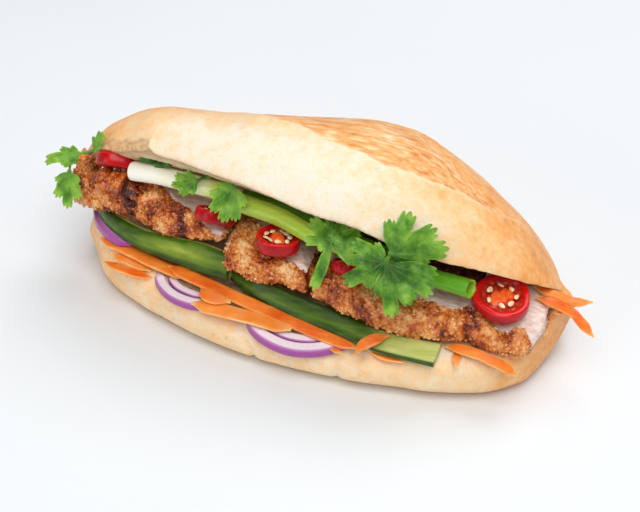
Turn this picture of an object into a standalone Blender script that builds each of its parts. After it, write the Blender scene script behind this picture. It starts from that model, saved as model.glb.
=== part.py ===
"""Banh mi: a short crusty roll, split along one long side and folded open at its back, filled with
crumbed cutlet, cucumber, spring onion, carrot, red onion, chilli and coriander.

Standalone Blender script. Sizes below are millimetres; meshes are made in metres.
+X runs along the roll, -Y is the open side, +Z is up. The origin is the middle of the flat base.
"""
import math
import random

import bmesh
import bpy
from mathutils import Matrix, Vector, noise

MM = 0.001

# Roll. Each table gives a value at a place along the roll: (x, value).
LEFT_TIP = -104.0
RIGHT_TIP = 104.0
FRONT_EDGE = [(-104, 9.5), (-98, 1), (-90, -9), (-78, -18), (-60, -28), (-38, -37), (-10, -43),
              (20, -46), (50, -46), (72, -42), (88, -31), (98, -12), (104, 2.5)]
BACK_EDGE = [(-104, 10.5), (-98, 24), (-90, 30), (-78, 35), (-60, 38), (-38, 40), (-10, 41),
             (20, 41), (50, 40), (72, 36), (88, 28), (98, 16), (104, 3.5)]
LOWER_LIP_Z = [(-104, 17), (-98, 19), (-88, 18), (-60, 18), (-30, 16), (5, 13.5), (25, 15), (45, 18),
               (62, 20), (82, 20), (92, 22), (98, 25), (101, 26), (104, 20)]
LOWER_BACK_Z = [(-104, 17), (-98, 20), (0, 21), (92, 22), (98, 25), (101, 26), (104, 20)]
UNDERSIDE_Z = [(-104, 15.5), (-101, 10), (-97, 5.5), (-90, 2), (-80, 0), (88, 0), (95, 3), (100, 8),
               (104, 18.5)]
UPPER_LIP_Y = [(-101, 11), (-97, 6), (-90, 0), (-79, -7), (-64, -14), (-48, -19), (-29, -24), (-12, -27),
               (4, -30), (19, -30.5), (35, -32), (53, -31), (69, -27), (83, -21), (94, -13), (100, -4)]
UPPER_LIP_Z = [(-101, 52), (-97, 57), (-90, 62), (-79, 67), (-64, 74), (-48, 76), (-29, 76.5), (-12, 74),
               (4, 71), (19, 68.5), (35, 64), (53, 59), (69, 54), (83, 47), (94, 39), (100, 31)]
HINGE_Y = [(-101, 13), (-97, 21), (-90, 27), (-79, 32), (-60, 35), (-38, 37), (20, 38), (50, 37),
           (72, 33), (88, 24), (96, 14), (100, 1)]
HINGE_Z = [(-101, 50), (-97, 38), (-90, 24), (-84, 19), (-72, 17), (0, 17), (88, 19), (95, 21), (100, 26)]
UPPER_THICKNESS = [(-101, 1), (-97, 10), (-90, 21), (-76, 26), (-58, 27.5), (-36, 29), (-15, 34), (8, 40),
                   (20, 41), (30, 41), (39, 39.5), (54, 33), (69, 24.5), (80, 17.5), (88, 12.5), (96, 6),
                   (100, 1)]
# Form of a section: how square its flanks are, how far the lower crust bulges and the crumb sags
LOWER_FLANK = 0.45
LOWER_WIDTH = 0.8
LOWER_FLAT = 1.04
UPPER_FLANK = 0.75
LOWER_BULGE = 4.0
CUT_SAG = 1.5
FULL_FORM_HALF_WIDTH = 20.0
# Torn ridge of the slash: (x, turn in degrees round the upper crust, from its lip)
SLASH_RIDGE = [(-36, 70), (-28, 57), (-11, 47), (1, 41), (11, 36), (25, 32), (41, 36), (52, 42), (62, 47),
               (71, 54), (80, 78)]
SLASH_FROM, SLASH_TO = -42.0, 84.0
SLASH_FADE = 20.0
SLASH_HEIGHT = 1.8
SLASH_HALF_WIDTH = 10.0
ROLL_RINGS = 36
CRUST_POINTS_LOWER = 13
CRUST_POINTS_UPPER = 18
CUT_POINTS = 3
CUT_CLEARANCE = 0.7

# Crumbed cutlet in three strips: (x, front y, back y, underside z at the front, top z, lean)
# The underside slopes down to its back rest, near the roll's hinge.
CUTLETS = {
    "cutlet_left": [(-108, 6, 16, 37, 45, 1.8), (-104, 1, 18, 34.5, 49, 2.4), (-92, -6, 20, 36, 51, 3),
                    (-80, -9, 24, 37.2, 51, 3), (-66, -14, 26, 36.8, 51.5, 3), (-52, -18, 27, 38.2, 50, 3),
                    (-40, -20, 27, 40, 47.6, 2.4), (-33.8, -19, 24, 42, 46.6, 1.8)],
    "cutlet_middle": [(-32.3, -27, 24, 36, 44, 2.4), (-29, -30, 27, 34, 46, 3), (-20, -32, 28, 33, 46.2, 3),
                      (-10, -32, 28, 33, 45.6, 3), (-2, -32, 28, 31.5, 44.6, 3), (3.2, -32, 26, 31, 42, 2.4)],
    "cutlet_right": [(4.4, -31, 26, 31.5, 41.5, 2.4), (9, -34, 28, 30.4, 42, 3), (18, -35.5, 28, 29.4, 41, 3),
                     (30, -37, 28, 28.2, 39.6, 3), (45, -37.5, 27, 27.2, 38.4, 3),
                     (58, -37, 26, 26.4, 37.4, 3), (66, -35, 25, 26.6, 36, 2.4),
                     (76, -35, 22, 26.2, 35.2, 2.4), (87, -32, 13, 24.6, 34, 1.8),
                     (93, -27, 4, 25, 33, 1.8), (96, -22, -3, 27, 31, 1.2)],
}
CUTLET_BACK_REST_Z = [(-108, 38), (-92, 33), (-80, 23.5), (-60, 22.4), (80, 22.6), (88, 24.4), (96, 28)]
CUTLET_CLEARANCE = [(-98, 8.6), (-77, 8.6), (-72, 1), (96, 1)]
CUTLET_RINGS_PER_MM = 0.3
CUTLET_FEWEST_RINGS = 8
CUTLET_END_CUT = 0.06
CUTLET_POINTS = 16
CUTLET_FLANK = 0.45
CUTLET_TOP = 0.6
CUTLET_REST_SLOPE = 1.5
CRUMB_DEPTH = 1.5
CRUMB_SIZE = 7.0

# Long cucumber slices: centre line (x, y, z), (x, height of the skin face), thickness,
# (x, lean in degrees)
CUCUMBERS = {
    "cucumber_left": (
        [(-94, 1, 31.8), (-84, -7, 32.2), (-70, -14, 31.9), (-54, -18.5, 32.4), (-38, -24, 33.6),
         (-32.5, -25.6, 34)],
        [(-94, 3), (-88, 6.5), (-70, 8.4), (-54, 9.4), (-40, 9), (-32.5, 6)], 4.6,
        [(-94, 78), (-32, 72)]),
    "cucumber_right": (
        [(-30, -20.5, 27.6), (-18, -27.5, 28), (-3, -32, 26.2), (17, -36.4, 24.4), (36, -41, 22.8),
         (57, -43.6, 23.4)],
        [(-30, 6), (-18, 8), (0, 8.6), (40, 9.6), (57, 10.4)], 3.8,
        [(-30, 62), (0, 50), (20, 30), (40, 16), (57, 10)]),
}
CUCUMBER_POINTS = 15
CUCUMBER_FULL_HEIGHT = 8.0

# Shreds of carrot: points along each, width, thickness, lean in degrees
CARROTS = [
    ([(-91, -8, 23.4), (-78, -13, 23.9), (-63, -19, 24), (-48, -24.2, 24.2)], 3.6, 1.8, 12),
    ([(-84, -13.6, 21), (-75, -17, 21.2), (-65, -20.4, 21.2)], 3.4, 1.4, 4),
    ([(-86, -18, 20), (-75, -21.6, 20.2), (-64, -23, 20)], 3.2, 1.4, 0),
    ([(-72, -9.4, 23.2), (-63, -13.4, 22.6), (-54.5, -17.4, 22.4)], 3.2, 1.5, 0),
    ([(-57, -21, 26), (-43, -27, 26.6), (-24, -32.6, 25.2), (-2, -37.5, 22.5), (14, -41.4, 21),
      (25.6, -43.8, 20.4)], 3.6, 1.8, 16),
    ([(-31, -28.6, 22.6), (-15.6, -32, 22), (1.3, -36, 20.6), (8.8, -38, 20)], 3.2, 1.4, 5),
    ([(-43, -36, 22.2), (-33, -37.4, 22.6), (-22, -38.8, 22.6), (-10, -40, 22.2), (-1, -41, 21.6)],
     4.4, 1.3, 12),
    ([(-40, -31, 26), (-38.6, -33.8, 26.2), (-35.4, -35.2, 25.6), (-30, -35.4, 25)], 3.8, 1.2, 24),
    ([(29.3, -41, 18.2), (37, -44, 18.8), (44.5, -46.4, 19.6)], 3.0, 1.3, 0),
    ([(26.4, -48.8, 21.6), (27.6, -47.4, 24.4), (30, -45.4, 25.6), (33.5, -43, 26.4), (37.4, -40, 26.4)],
     3.2, 1.4, 20),
    ([(59, -38, 23.4), (64, -38.6, 24.2), (71.7, -40, 24.2), (77.4, -41, 23), (82.7, -41, 20.8),
      (87.6, -41, 17.4)], 3.0, 1.3, 20),
    ([(63.2, -36.4, 21.4), (64, -41, 21.6), (65, -45.9, 21)], 3.2, 1.1, 0),
    ([(15, -44.6, 18.8), (18, -46, 19.2), (21, -47.4, 20)], 2.8, 1.2, 10),
    ([(87.6, -9.4, 36), (95.2, -11, 35), (102.3, -11, 32.8), (111, -8, 31.4)], 3.2, 1.7, 12),
    ([(89.5, -14.6, 35), (96.9, -15, 33.6), (103.3, -15, 31), (108, -18.6, 29.6), (113.6, -24.6, 28.4)],
     3.2, 1.6, 20),
    ([(97.6, -16.4, 30), (99.6, -14.6, 29.2), (101, -12.4, 28.4)], 2.6, 1.3, 0),
    ([(-108, 13, 31), (-104.6, 8, 30.4), (-101.6, 3.6, 28.6)], 2.8, 1.3, 20),
]
CARROT_TIP_WIDTH = 0.55
CARROT_TAPER = 6.0

# Slices of red onion: centre of the ring, radius, first and last angle, ring width, height, slope
ONIONS = {
    "onion_left": ((-72, 12, 27.2), 27, 172, 258, 4.0, 3.2, 0.03),
    "onion_middle": ((-42.5, -14, 21), 22, 197, 286, 4.2, 3.0, 0.05),
    "onion_middle_core": ((-42.5, -14, 21), 17.4, 204, 280, 3.6, 2.8, 0.05),
    "onion_right": ((1.5, -20.5, 21.6), 28, 217, 322, 4.4, 3.3, 0.18),
    "onion_right_core": ((1.5, -20.5, 21.4), 23.1, 226, 300, 3.6, 2.8, 0.18),
}
ONION_RINGS = 13
ONION_SIDES = 6
ONION_SQUARENESS = 0.5
ONION_TIP_WIDTH = 0.35
ONION_TAPER = 5.0

# Rings of chilli: middle of the top face, radius, height, turn about X and Y in degrees, seeds
CHILLIES = {
    "chilli_end": ((-86.5, 2.4, 54.4), 8.2, 5.0, -50, 0, 3),
    "chilli_left": ((-39.5, -13.8, 54.3), 8.4, 5.0, -6, 5, 4),
    "chilli_middle": ((-10.5, -23, 53), 8.5, 5.4, -10, 4, 8),
    "chilli_half": ((17.5, -26.6, 46.6), 6.8, 4.0, 4, 3, 4),
    "chilli_right": ((77.5, -23.6, 41.6), 11.0, 4.8, 6, 4, 8),
}
CHILLI_WALL = 2.1
CHILLI_RECESS = 1.1
CHILLI_CORE_HEIGHT = 0.8
CHILLI_SIDES = 16
SEED_REACH = 0.68
SEED_LIFT = 0.25
SEED_LENGTH, SEED_WIDTH, SEED_HEIGHT = 2.6, 1.7, 1.2

# Spring onion: centre line, radius at points along it
SPRING_ONION_PATH = [(-77.5, -5, 58.4), (-60, -8.5, 58.4), (-39, -11.5, 58.8), (-27, -15.5, 58.6),
                     (-12, -18.5, 58.4), (5, -24, 56), (28, -25, 50), (50, -25.5, 45.8), (66, -28, 45.6)]
SPRING_ONION_RADIUS = [(-77.5, 2.6), (-76.5, 3.6), (-60, 3.9), (-27, 3.8), (5, 3.4), (40, 3.3), (66, 3.6)]
SPRING_LEAF_PATH = [(-29, -8, 59), (-12, -11, 58), (5, -16.4, 56), (22, -18.5, 51.4), (40, -17.5, 47)]
SPRING_LEAF_WIDTH = 5.0
SPRING_LEAF_THICKNESS = 0.45
SPRING_LEAF_LEAN = 35.0
SPRING_LEAF_POINTS = 11
HOLLOW_DEPTH = 9.0
HOLLOW_WALL = 1.0
TUBE_SIDES = 12
TUBE_POINTS = 20

# Coriander: for each blade its middle, where its tip is, the way it faces, half width, stalk end, wave
LEAVES = {
    "coriander_end_up": [((-94, 0.6, 66.5), (-92.6, 2.4, 72), (-0.3, -0.9, 0.3), 2.4, (-94.6, 1, 60.6), 3)],
    "coriander_end_arm": [((-103, 0.5, 57.6), (-112, -7, 53.5), (0, -0.5, 0.85), 5.0, (-97, 2, 58.6), 5)],
    "coriander_end_down": [
        ((-105.5, -5.5, 45), (-104, -10.5, 36), (-0.1, -0.85, 0.5), 4.6, (-105, -1, 53), 7)],
    "coriander_small": [((-50.5, -15.4, 64.6), (-47, -19, 61.5), (0, -0.6, 0.8), 5.6, (-43, -13.6, 64.8), 4)],
    "coriander_left": [((-32.5, -21, 62.5), (-30, -26.4, 57.5), (0.05, -0.7, 0.7), 7.0, (-37, -15, 66), 6)],
    "coriander_sprig": [((13, -28.4, 61), (25, -29.5, 60.6), (0.05, -0.6, 0.8), 8.0, (8, -38.5, 46), 9)],
    "coriander_right": [
        ((42, -35, 69), (43, -28.5, 78), (0.1, -0.86, 0.5), 11.5, (41, -36.8, 57.6), 2),
        ((28, -38.4, 52.4), (22.5, -39.8, 47), (0.05, -0.8, 0.6), 8.0, (41, -36.8, 57.6), 8),
        ((42, -40, 49.8), (41, -43.8, 42), (0.05, -0.8, 0.6), 9.0, (41, -36.8, 57.6), 1),
        ((51.5, -35.4, 52.6), (55.6, -37, 50.6), (0.1, -0.8, 0.6), 4.8, (41, -36.8, 57.6), 11)],
    "coriander_under_lip": [((-62, -8.4, 64), (-54, -10.4, 63.8), (0, -0.3, 0.95), 4.6, (-72, -6, 63), 12)],
}
LEAF_THICKNESS = 0.5
LEAF_POINTS = 20
LEAF_RINGS = (0.6, 1.0)
LEAF_WIDENING = 1.2
LEAF_WAVE = 0.9
LEAF_DROOP = 0.012
STALK_RADIUS = 0.6
STALK_SIDES = 5


def srgb(code):
    """Linear colour of an sRGB hex code."""
    channels = [int(code[i:i + 2], 16) / 255 for i in (1, 3, 5)]
    return [c / 12.92 if c <= 0.04045 else ((c + 0.055) / 1.055) ** 2.4 for c in channels] + [1.0]


def at(stations, x):
    """Value at x on a smooth curve through the stations, with no overshoot between them."""
    xs = [s[0] for s in stations]
    ys = [s[1] for s in stations]
    if x <= xs[0]:
        return ys[0]
    if x >= xs[-1]:
        return ys[-1]
    i = max(j for j in range(len(xs) - 1) if xs[j] <= x)

    def step(j):
        return (ys[j + 1] - ys[j]) / (xs[j + 1] - xs[j])

    def slope(j):
        if j == 0 or j == len(xs) - 1:
            return step(min(j, len(xs) - 2))
        before, after = step(j - 1), step(j)
        return 0.0 if before * after <= 0 else 2 * before * after / (before + after)

    width = xs[i + 1] - xs[i]
    t = (x - xs[i]) / width
    rise = slope(i) * width * t * (1 - t) ** 2 - slope(i + 1) * width * t * t * (1 - t)
    return ys[i] * (1 + 2 * t) * (1 - t) ** 2 + ys[i + 1] * t * t * (3 - 2 * t) + rise


def along(points, count):
    """Points evenly spread on a smooth curve through the given points."""
    lengths = [0.0]
    for a, b in zip(points, points[1:]):
        lengths.append(lengths[-1] + (Vector(b) - Vector(a)).length)
    curves = [[(s, p[k]) for s, p in zip(lengths, points)] for k in range(3)]
    return [Vector([at(c, lengths[-1] * i / (count - 1)) for c in curves]) for i in range(count)]


def material(name, code, roughness):
    """Principled material of one colour."""
    mat = bpy.data.materials.new(name)
    mat.use_nodes = True
    shader = mat.node_tree.nodes["Principled BSDF"]
    shader.inputs["Base Color"].default_value = srgb(code)
    shader.inputs["Roughness"].default_value = roughness
    mat.diffuse_color = srgb(code)
    return mat


def make_object(name, bm, mat, collection):
    """Object from a mesh in millimetres, closed, facing out and smooth."""
    bmesh.ops.recalc_face_normals(bm, faces=bm.faces)
    bm.transform(Matrix.Scale(MM, 4))
    mesh = bpy.data.meshes.new(name)
    bm.to_mesh(mesh)
    bm.free()
    mesh.materials.append(mat)
    mesh.shade_smooth()
    mesh.set_sharp_from_angle(angle=math.radians(50))
    obj = bpy.data.objects.new(name, mesh)
    collection.objects.link(obj)
    return obj


def loft(rings):
    """Closed mesh through rings of equal length, with a fan over each end."""
    bm = bmesh.new()
    rows = [[bm.verts.new(p) for p in ring] for ring in rings]
    count = len(rings[0])
    for near, far in zip(rows, rows[1:]):
        for i in range(count):
            j = (i + 1) % count
            bm.faces.new((near[i], near[j], far[j], far[i]))
    for row in (rows[0], rows[-1]):
        middle = bm.verts.new(sum((v.co for v in row), Vector()) / count)
        for i in range(count):
            bm.faces.new((row[i], row[(i + 1) % count], middle))
    return bm


def union(name, collection, pieces):
    """One body from the pieces, by one Boolean union on a collection."""
    group = bpy.data.collections.new(name + "_pieces")
    collection.children.link(group)
    for piece in pieces[1:]:
        collection.objects.unlink(piece)
        group.objects.link(piece)
    body = pieces[0]
    body.name = name
    join = body.modifiers.new("join", "BOOLEAN")
    join.operation = "UNION"
    join.operand_type = "COLLECTION"
    join.collection = group
    join.solver = "EXACT"
    evaluated = body.evaluated_get(bpy.context.evaluated_depsgraph_get())
    mesh = bpy.data.meshes.new_from_object(evaluated)
    body.modifiers.remove(join)
    body.data = mesh
    for piece in pieces[1:]:
        bpy.data.objects.remove(piece)
    bpy.data.collections.remove(group)
    mesh.shade_smooth()
    mesh.set_sharp_from_angle(angle=math.radians(50))
    return body


def lower_ring(x):
    """Section of the lower half: crust from the front lip round the bottom, then the cut face back."""
    front, back = at(FRONT_EDGE, x), at(BACK_EDGE, x)
    lip, back_lip, base = at(LOWER_LIP_Z, x), at(LOWER_BACK_Z, x), at(UNDERSIDE_Z, x)
    middle, half = (front + back) / 2, (back - front) / 2
    form = min(1.0, half / FULL_FORM_HALF_WIDTH)
    ring = []
    for i in range(CRUST_POINTS_LOWER):
        turn = math.pi * i / (CRUST_POINTS_LOWER - 1)
        depth = min(1.0, LOWER_FLAT * math.sin(turn) ** LOWER_FLANK)
        edge = lip + (back_lip - lip) * i / (CRUST_POINTS_LOWER - 1)
        out = LOWER_BULGE * form * math.sin(2 * turn)
        across = half * math.copysign(abs(math.cos(turn)) ** LOWER_WIDTH, math.cos(turn))
        ring.append(Vector((x, middle - across - out, edge + (base - edge) * depth)))
    for i in range(1, CUT_POINTS + 1):
        t = i / (CUT_POINTS + 1)
        sag = CUT_SAG * form * math.sin(math.pi * t)
        ring.append(Vector((x, back + (front - back) * t, back_lip + (lip - back_lip) * t - sag)))
    return ring


def slash_relief(x, turn):
    """Height of the torn ridge left by the baker's slash, along the top of the crust."""
    if not SLASH_FROM < x < SLASH_TO:
        return 0.0
    fade = min(1.0, (x - SLASH_FROM) / SLASH_FADE, (SLASH_TO - x) / SLASH_FADE)
    off = (math.degrees(turn) - at(SLASH_RIDGE, x)) / SLASH_HALF_WIDTH
    return SLASH_HEIGHT * fade * math.exp(-off * off)


def upper_ring(x):
    """Section of the upper half: crust from the upper lip over the top to the hinge, then the cut face."""
    lip = Vector((x, at(UPPER_LIP_Y, x), at(UPPER_LIP_Z, x)))
    hinge = Vector((x, at(HINGE_Y, x), at(HINGE_Z, x)))
    chord = hinge - lip
    out = Vector((0, chord.z, -chord.y)).normalized() * -1
    thickness = at(UPPER_THICKNESS, x)
    ring = []
    for i in range(CRUST_POINTS_UPPER):
        turn = math.pi * i / (CRUST_POINTS_UPPER - 1)
        height = thickness * math.sin(turn) ** UPPER_FLANK + slash_relief(x, turn)
        ring.append(lip + chord * (1 - math.cos(turn)) / 2 + out * height)
    for i in range(1, CUT_POINTS + 1):
        ring.append(hinge - chord * i / (CUT_POINTS + 1))
    return ring


def below_cut(point, clearance=CUT_CLEARANCE):
    """The point, moved off the cut face of the upper half where it comes nearer than the clearance."""
    x = point.x
    lip = Vector((x, at(UPPER_LIP_Y, x), at(UPPER_LIP_Z, x)))
    chord = Vector((x, at(HINGE_Y, x), at(HINGE_Z, x))) - lip
    out = Vector((0, -chord.z, chord.y)).normalized()
    reach = (point - lip).dot(chord) / chord.length_squared
    height = (point - lip).dot(out) + clearance
    return point - out * height if 0 < reach < 1 and height > 0 else point


def along_roll(first, last):
    """Places of the sections, closer together towards the tips."""
    middle, half = (first + last) / 2, (last - first) / 2
    return [middle - half * math.cos(math.pi * i / (ROLL_RINGS - 1)) for i in range(ROLL_RINGS)]


def make_roll(collection, crust):
    """Both halves of the roll, joined along the hinge."""
    lower_rings = [lower_ring(x) for x in along_roll(LEFT_TIP, RIGHT_TIP)]
    upper_rings = [upper_ring(x) for x in along_roll(UPPER_LIP_Z[0][0], UPPER_LIP_Z[-1][0])]
    lower = make_object("roll", loft(lower_rings), crust, collection)
    upper = make_object("roll_upper", loft(upper_rings), crust, collection)
    return union("roll", collection, [lower, upper])


def crumb_relief(point):
    """Crags of the fried crumb at a point in millimetres."""
    place = Vector(point) / CRUMB_SIZE
    return CRUMB_DEPTH * (noise.noise(place) + 0.5 * noise.noise(place * 2.1))


def cutlet_rings(rows):
    """Sections of a strip of cutlet, square at the front and thin at the back."""
    first, last = rows[0][0], rows[-1][0]
    count = max(CUTLET_FEWEST_RINGS, int((last - first) * CUTLET_RINGS_PER_MM))
    curves = [[(r[0], r[k]) for r in rows] for k in range(1, 6)]
    rings = []
    for n in range(count):
        share = CUTLET_END_CUT + (1 - 2 * CUTLET_END_CUT) * n / (count - 1)
        x = (first + last) / 2 - (last - first) / 2 * math.cos(math.pi * share)
        front, back, base, top, lean = [at(c, x) for c in curves]
        ring = []
        for i in range(CUTLET_POINTS):
            turn = 2 * math.pi * i / CUTLET_POINTS
            c, s = math.cos(turn), math.sin(turn)
            back_share = (1 + math.copysign(abs(c) ** CUTLET_FLANK, c)) / 2
            low = base + (at(CUTLET_BACK_REST_Z, x) - base) * back_share ** CUTLET_REST_SLOPE
            up = (low + top) / 2 + (top - low) / 2 * math.copysign(abs(s) ** CUTLET_TOP, s)
            point = Vector((x, front + (back - front) * back_share + lean * s, up))
            outward = Vector((0, c, s))
            ring.append(below_cut(point + outward * crumb_relief(point), at(CUTLET_CLEARANCE, x)))
        rings.append(ring)
    return rings


def make_cutlets(collection, crumb):
    """Three strips of crumbed cutlet, side by side along the roll."""
    for name, rows in CUTLETS.items():
        make_object(name, loft(cutlet_rings(rows)), crumb, collection)


def strip_rings(path, widths, heights, leans, corners=8, squareness=0.6):
    """Rings of a flat strip that follows the path; widths, heights and leans are one value a point."""
    rings = []
    for i, point in enumerate(path):
        ahead = path[min(i + 1, len(path) - 1)] - path[max(i - 1, 0)]
        ahead.normalize()
        side = Vector((0, 0, 1)).cross(ahead).normalized()
        up = ahead.cross(side)
        lean = math.radians(leans[i])
        across = side * math.cos(lean) + up * math.sin(lean)
        rise = up * math.cos(lean) - side * math.sin(lean)
        ring = []
        for k in range(corners):
            turn = 2 * math.pi * (k + 0.5) / corners
            c, s = math.cos(turn), math.sin(turn)
            ring.append(point + across * widths[i] / 2 * math.copysign(abs(c) ** squareness, c)
                        + rise * heights[i] / 2 * math.copysign(abs(s) ** squareness, s))
        rings.append(ring)
    return rings


def make_cucumbers(collection, skin):
    """Long slices that stand on edge, skin towards the front."""
    for name, (points, face, thickness, leans) in CUCUMBERS.items():
        path = along(points, CUCUMBER_POINTS)
        widths = [at(face, p.x) for p in path]
        heights = [thickness * min(1.0, w / CUCUMBER_FULL_HEIGHT) for w in widths]
        lean = [at(leans, p.x) for p in path]
        make_object(name, loft(strip_rings(path, widths, heights, lean, 8, 0.7)), skin, collection)


def make_carrots(collection, flesh):
    """Shreds of carrot with square edges and thinner ends."""
    for number, (points, width, thickness, lean) in enumerate(CARROTS, 1):
        count = 4 + len(points)
        path = along(points, count)
        nearness = [min(1.0, CARROT_TAPER * min(i, count - 1 - i) / count) for i in range(count)]
        taper = [CARROT_TIP_WIDTH + (1 - CARROT_TIP_WIDTH) * n for n in nearness]
        widths = [width * t for t in taper]
        heights = [thickness * t for t in taper]
        rings = strip_rings(path, widths, heights, [lean] * count, 4, 0.0)
        make_object("carrot_%02d" % number, loft(rings), flesh, collection)


def make_onions(collection, flesh):
    """Arcs of sliced onion, one for each layer."""
    for name, (centre, radius, first, last, width, height, slope) in ONIONS.items():
        rings = []
        for i in range(ONION_RINGS):
            t = i / (ONION_RINGS - 1)
            turn = math.radians(first + (last - first) * t)
            spoke = Vector((math.cos(turn), math.sin(turn), slope * math.sin(turn)))
            middle = Vector(centre) + spoke * (radius - width / 2)
            thin = ONION_TIP_WIDTH + (1 - ONION_TIP_WIDTH) * min(1.0, ONION_TAPER * min(t, 1 - t))
            ring = []
            for k in range(ONION_SIDES):
                angle = 2 * math.pi * (k + 0.5) / ONION_SIDES
                c, s = math.cos(angle), math.sin(angle)
                out = spoke * width / 2 * thin * math.copysign(abs(c) ** ONION_SQUARENESS, c)
                up = height / 2 * thin * math.copysign(abs(s) ** ONION_SQUARENESS, s)
                ring.append(middle + out + Vector((0, 0, up)))
            rings.append(ring)
        make_object(name, loft(rings), flesh, collection)


def chilli_body(radius, height):
    """Turned ring: a red wall round a sunk disc with a raised core."""
    inner = radius - CHILLI_WALL
    floor = -CHILLI_RECESS
    profile = [(inner * 0.4, floor + CHILLI_CORE_HEIGHT), (inner * 0.55, floor), (inner, floor),
               (inner + 0.4, 0), (radius - 0.4, 0), (radius, -0.7), (radius, 0.6 - height),
               (radius - 0.5, -height)]
    turns = [2 * math.pi * k / CHILLI_SIDES for k in range(CHILLI_SIDES)]
    return loft([[Vector((r * math.cos(a), r * math.sin(a), z)) for a in turns] for r, z in profile])


def make_chillies(collection, flesh):
    """Rings of chilli, each with its seeds fused round the core."""
    draw = random.Random(7)
    for name, (centre, radius, height, tip, roll, seeds) in CHILLIES.items():
        place = (Matrix.Translation(centre) @ Matrix.Rotation(math.radians(tip), 4, "X")
                 @ Matrix.Rotation(math.radians(roll), 4, "Y"))
        bm = chilli_body(radius, height)
        bm.transform(place)
        pieces = [make_object(name, bm, flesh, collection)]
        for k in range(seeds):
            turn = 2 * math.pi * (k + 0.3 * draw.random()) / seeds
            reach = (radius - CHILLI_WALL) * SEED_REACH
            seed = bmesh.new()
            bmesh.ops.create_icosphere(seed, subdivisions=1, radius=1)
            spin = Matrix.Rotation(turn + math.pi / 2 + draw.uniform(-0.5, 0.5), 4, "Z")
            size = Matrix.Diagonal((SEED_LENGTH / 2, SEED_WIDTH / 2, SEED_HEIGHT / 2, 1))
            seat = Matrix.Translation(
                (reach * math.cos(turn), reach * math.sin(turn), SEED_LIFT - CHILLI_RECESS))
            seed.transform(place @ seat @ spin @ size)
            pieces.append(make_object("%s_seed_%d" % (name, k), seed, flesh, collection))
        union(name, collection, pieces)


def make_spring_onion(collection, flesh):
    """A stem with a hollow green end, and a leaf that lies behind it."""
    path = along(SPRING_ONION_PATH, TUBE_POINTS)
    radii = [at(SPRING_ONION_RADIUS, p.x) for p in path]
    flat = [0] * len(path)
    outer = strip_rings(path, [2 * r for r in radii], [2 * r for r in radii], flat, TUBE_SIDES, 1.0)
    end = path[-1]
    start = end + (path[-3] - end).normalized() * HOLLOW_DEPTH
    bore = [end, start]
    width = [2 * (radii[-1] - HOLLOW_WALL)] * 2
    inner = strip_rings(bore, width, width, [0, 0], TUBE_SIDES, 1.0)
    flipped = [[ring[(TUBE_SIDES - 1 - k) % TUBE_SIDES] for k in range(TUBE_SIDES)] for ring in inner]
    half = TUBE_SIDES // 2
    matched = [[ring[(k + half) % TUBE_SIDES] for k in range(TUBE_SIDES)] for ring in flipped]
    make_object("spring_onion", loft(outer + matched), flesh, collection)
    leaf = along(SPRING_LEAF_PATH, SPRING_LEAF_POINTS)
    last = SPRING_LEAF_POINTS - 1
    nearness = [min(1.0, 4 * min(i, last - i) / last) for i in range(SPRING_LEAF_POINTS)]
    widths = [SPRING_LEAF_WIDTH * (1 + n) / 2 for n in nearness]
    heights = [w * SPRING_LEAF_THICKNESS for w in widths]
    rings = strip_rings(leaf, widths, heights, [SPRING_LEAF_LEAN] * len(leaf), 8, 1.0)
    clear = [[below_cut(p) for p in ring] for ring in rings]
    make_object("spring_onion_leaf", loft(clear), flesh, collection)


def leaf_edge(turn, seed):
    """Reach of a toothed, lobed blade in a direction, 1 at the tip of its longest lobe."""
    lobes = 0.76 + 0.15 * math.cos(5 * turn) + 0.05 * math.cos(3 * turn + seed)
    teeth = 0.05 * math.cos(12 * turn)
    notch = 0.38 * math.exp(-((abs(turn) - math.pi) / 0.35) ** 2)
    return max(0.15, lobes + teeth - notch)


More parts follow.
